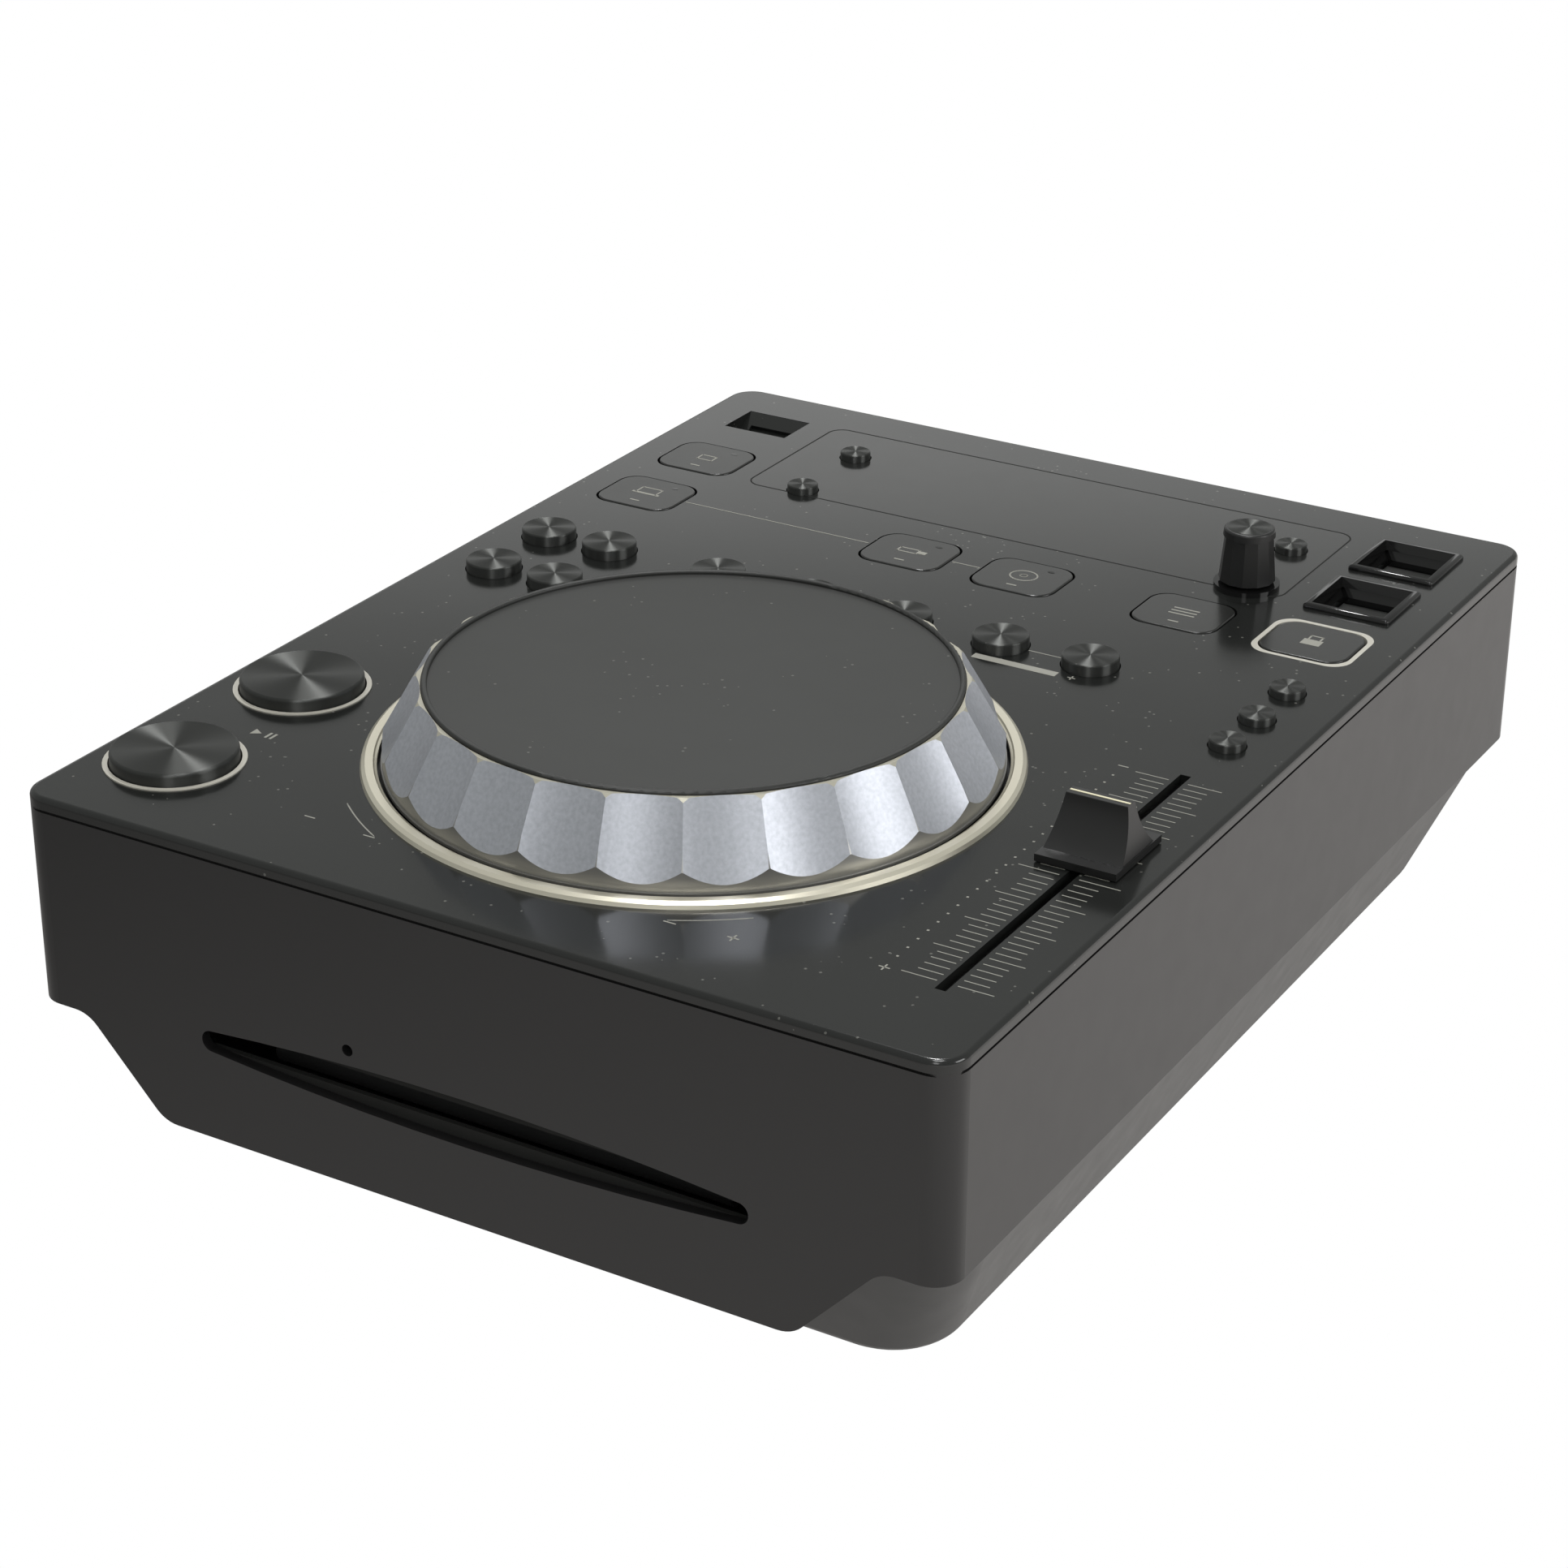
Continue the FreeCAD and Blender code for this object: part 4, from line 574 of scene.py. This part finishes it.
# Sound sockets in the rear: each has a metal sleeve round a plastic core, and the core
# has a hole for the plug's pin.  The left core is white and the right one red.
sleeve_r, core_r, pin_r, sleeve_deep = 0.0046, 0.0041, 0.0016, 0.008
sleeve_steel = finishes["bright_steel"]
core_white = bpy.data.materials.new("socket_white")
core_red = bpy.data.materials.new("socket_red")
for finish, colour in ((core_white, (0.62, 0.62, 0.58)), (core_red, (0.42, 0.02, 0.02))):
    finish.use_nodes = True
    finish.node_tree.nodes["Principled BSDF"].inputs["Base Color"].default_value = (*colour, 1)
for side, x, core in (("left", 0.051, core_white), ("right", 0.064, core_red)):
    for name, outer, inner, y_low, y_high, coat in (
        ("sleeve", sleeve_r, core_r, socket_face - sleeve_deep, socket_face + 0.0003, sleeve_steel),
        ("core", core_r, pin_r, socket_face, socket_face + 0.0002, core),
    ):
        bpy.ops.object.select_all(action="DESELECT")
        bpy.ops.mesh.primitive_cylinder_add(vertices=64, radius=outer, depth=y_high - y_low,
                                            rotation=(math.radians(90), 0, 0),
                                            location=(x, (y_low + y_high) / 2, socket_height))
        tube = bpy.context.object
        bpy.ops.object.transform_apply(location=True, rotation=True, scale=True)
        bpy.ops.object.select_all(action="DESELECT")
        bpy.ops.mesh.primitive_cylinder_add(vertices=64, radius=inner, depth=0.03,
                                            rotation=(math.radians(90), 0, 0),
                                            location=(x, socket_face, socket_height))
        hole = bpy.context.object
        bpy.ops.object.select_all(action="DESELECT")
        tube.select_set(True)
        bpy.context.view_layer.objects.active = tube
        step = tube.modifiers.new("hole", "BOOLEAN")
        step.operation = "DIFFERENCE"
        step.solver = "EXACT"
        step.object = hole
        bpy.ops.object.modifier_apply(modifier=step.name)
        bpy.data.objects.remove(hole)
        bpy.ops.object.shade_smooth_by_angle(angle=math.radians(35))
        tube.name = "sound_" + name + "_" + side
        tube.data.materials.append(coat)
        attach(tube, "base")

# Plated blades of the mains inlet: two side by side, and the earth blade a little
# higher between them.
inlet_x, blade_middle = -0.078, 0.0092
blade_wide, blade_long, blade_tall = 0.0022, 0.0112, 0.0042
blades = []
for x, z in ((-0.007, -0.0025), (0, 0.0035), (0.007, -0.0025)):
    bpy.ops.object.select_all(action="DESELECT")
    bpy.ops.mesh.primitive_cube_add(size=1,
                                    location=(inlet_x + x, socket_face - blade_middle, socket_height + z),
                                    scale=(blade_wide, blade_long, blade_tall))
    blades.append(bpy.context.object)
for blade in blades:
    blade.select_set(True)
bpy.context.view_layer.objects.active = blades[0]
bpy.ops.object.join()
bpy.ops.object.transform_apply(location=True, rotation=True, scale=True)
plating = bpy.context.object
plating.name = "inlet_blade_plating"
plating.data.materials.append(finishes["bright_steel"])
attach(plating, "base")

# Floor: white to the eye, but what the shiny case mirrors of it is darker at the left and
# brighter at the right.
bpy.ops.mesh.primitive_plane_add(size=30, location=(0, 0, 0))
floor = bpy.context.object
floor.name = "floor"
cover = bpy.data.materials.new("floor")
cover.use_nodes = True
tree = cover.node_tree
tree.nodes.clear()
out_node = tree.nodes.new("ShaderNodeOutputMaterial")
ray = tree.nodes.new("ShaderNodeLightPath")
seen = tree.nodes.new("ShaderNodeEmission")
seen.inputs["Color"].default_value = (1, 1, 1, 1)
seen.inputs["Strength"].default_value = 1
place = tree.nodes.new("ShaderNodeTexCoord")
split = tree.nodes.new("ShaderNodeSeparateXYZ")
tree.links.new(place.outputs["Object"], split.inputs["Vector"])
side = tree.nodes.new("ShaderNodeMapRange")
side.inputs["From Min"].default_value = -0.25
side.inputs["From Max"].default_value = 0.35
side.inputs["To Min"].default_value = 0.28
side.inputs["To Max"].default_value = 1.15
tree.links.new(split.outputs["X"], side.inputs["Value"])
mirrored = tree.nodes.new("ShaderNodeEmission")
mirrored.inputs["Color"].default_value = (1, 0.97, 0.94, 1)
tree.links.new(side.outputs["Result"], mirrored.inputs["Strength"])
matte = tree.nodes.new("ShaderNodeBsdfDiffuse")
matte.inputs["Color"].default_value = (0.6, 0.6, 0.6, 1)
glossy_mix = tree.nodes.new("ShaderNodeMixShader")
tree.links.new(ray.outputs["Is Glossy Ray"], glossy_mix.inputs["Fac"])
tree.links.new(matte.outputs["BSDF"], glossy_mix.inputs[1])
tree.links.new(mirrored.outputs["Emission"], glossy_mix.inputs[2])
eye_mix = tree.nodes.new("ShaderNodeMixShader")
tree.links.new(ray.outputs["Is Camera Ray"], eye_mix.inputs["Fac"])
tree.links.new(glossy_mix.outputs["Shader"], eye_mix.inputs[1])
tree.links.new(seen.outputs["Emission"], eye_mix.inputs[2])
tree.links.new(eye_mix.outputs["Shader"], out_node.inputs["Surface"])
floor.data.materials.append(cover)

# Surroundings: white behind the object, and a dimmer even light on the object and in
# what it mirrors.
world = bpy.data.worlds.new("studio")
bpy.context.scene.world = world
world.use_nodes = True
tree = world.node_tree
tree.nodes.clear()
out_node = tree.nodes.new("ShaderNodeOutputWorld")
ray = tree.nodes.new("ShaderNodeLightPath")
seen = tree.nodes.new("ShaderNodeBackground")
seen.inputs["Color"].default_value = (1, 1, 1, 1)
seen.inputs["Strength"].default_value = 1
room = tree.nodes.new("ShaderNodeBackground")
room.inputs["Color"].default_value = (0.98, 1.0, 0.97, 1)
room.inputs["Strength"].default_value = 0.42
pick = tree.nodes.new("ShaderNodeMixShader")
tree.links.new(ray.outputs["Is Camera Ray"], pick.inputs["Fac"])
tree.links.new(room.outputs["Background"], pick.inputs[1])
tree.links.new(seen.outputs["Background"], pick.inputs[2])
tree.links.new(pick.outputs["Shader"], out_node.inputs["Surface"])

# Lamps: a soft one from the right, one from the front and one above, a small hard one
# above the rear, and a long low strip behind that the shiny panel mirrors.
for name, where_at, aim, wide, tall, watts in (
    ("right_lamp", (1.30, 0.10, 0.66), (0, 0, 0.05), 0.7, 0.45, 6),
    ("front_lamp", (0.45, -1.2, 1.0), (0, 0, 0.05), 0.35, 0.8, 3.4),
    ("top_lamp", (-0.40, 0.68, 1.45), (0, 0, 0.05), 0.16, 0.16, 6.5),
    ("ceiling_lamp", (0.12, -0.22, 1.5), (0, -0.06, 0.08), 0.4, 0.4, 6),
    ("rear_lamp", (-1.36, 2.1, 0.86), (0, 0, 0.05), 1.9, 0.36, 1.6),
):
    bpy.ops.object.light_add(type="AREA", location=where_at)
    lamp = bpy.context.object
    lamp.name = name
    lamp.data.shape = "RECTANGLE"
    lamp.data.size = wide
    lamp.data.size_y = tall
    lamp.data.energy = watts
    lamp.rotation_euler = (Vector(aim) - Vector(where_at)).to_track_quat("-Z", "Y").to_euler()

# Camera, solved from points measured in the photo: a long lens that looks at the aim
# from the right of the front, from above, with a very slight roll.
view_distance = 0.839652
turn, rise, roll = math.radians(30.573), math.radians(25.772), math.radians(0.257)
aim = Vector((-0.014013, 0.004683, 0.050))
back = Vector((math.sin(turn) * math.cos(rise), -math.cos(turn) * math.cos(rise), math.sin(rise)))
right = (-back).cross(Vector((0, 0, 1))).normalized()
up = right.cross(-back)
right, up = right * math.cos(roll) + up * math.sin(roll), up * math.cos(roll) - right * math.sin(roll)
bpy.ops.object.camera_add(location=aim + back * view_distance)
camera = bpy.context.object
camera.rotation_euler = Matrix((right, up, back)).transposed().to_euler()
camera.data.sensor_width = 36
camera.data.lens = 84.1705
camera.data.clip_start = 0.05
bpy.context.scene.camera = camera
bpy.context.scene.view_settings.view_transform = "Standard"
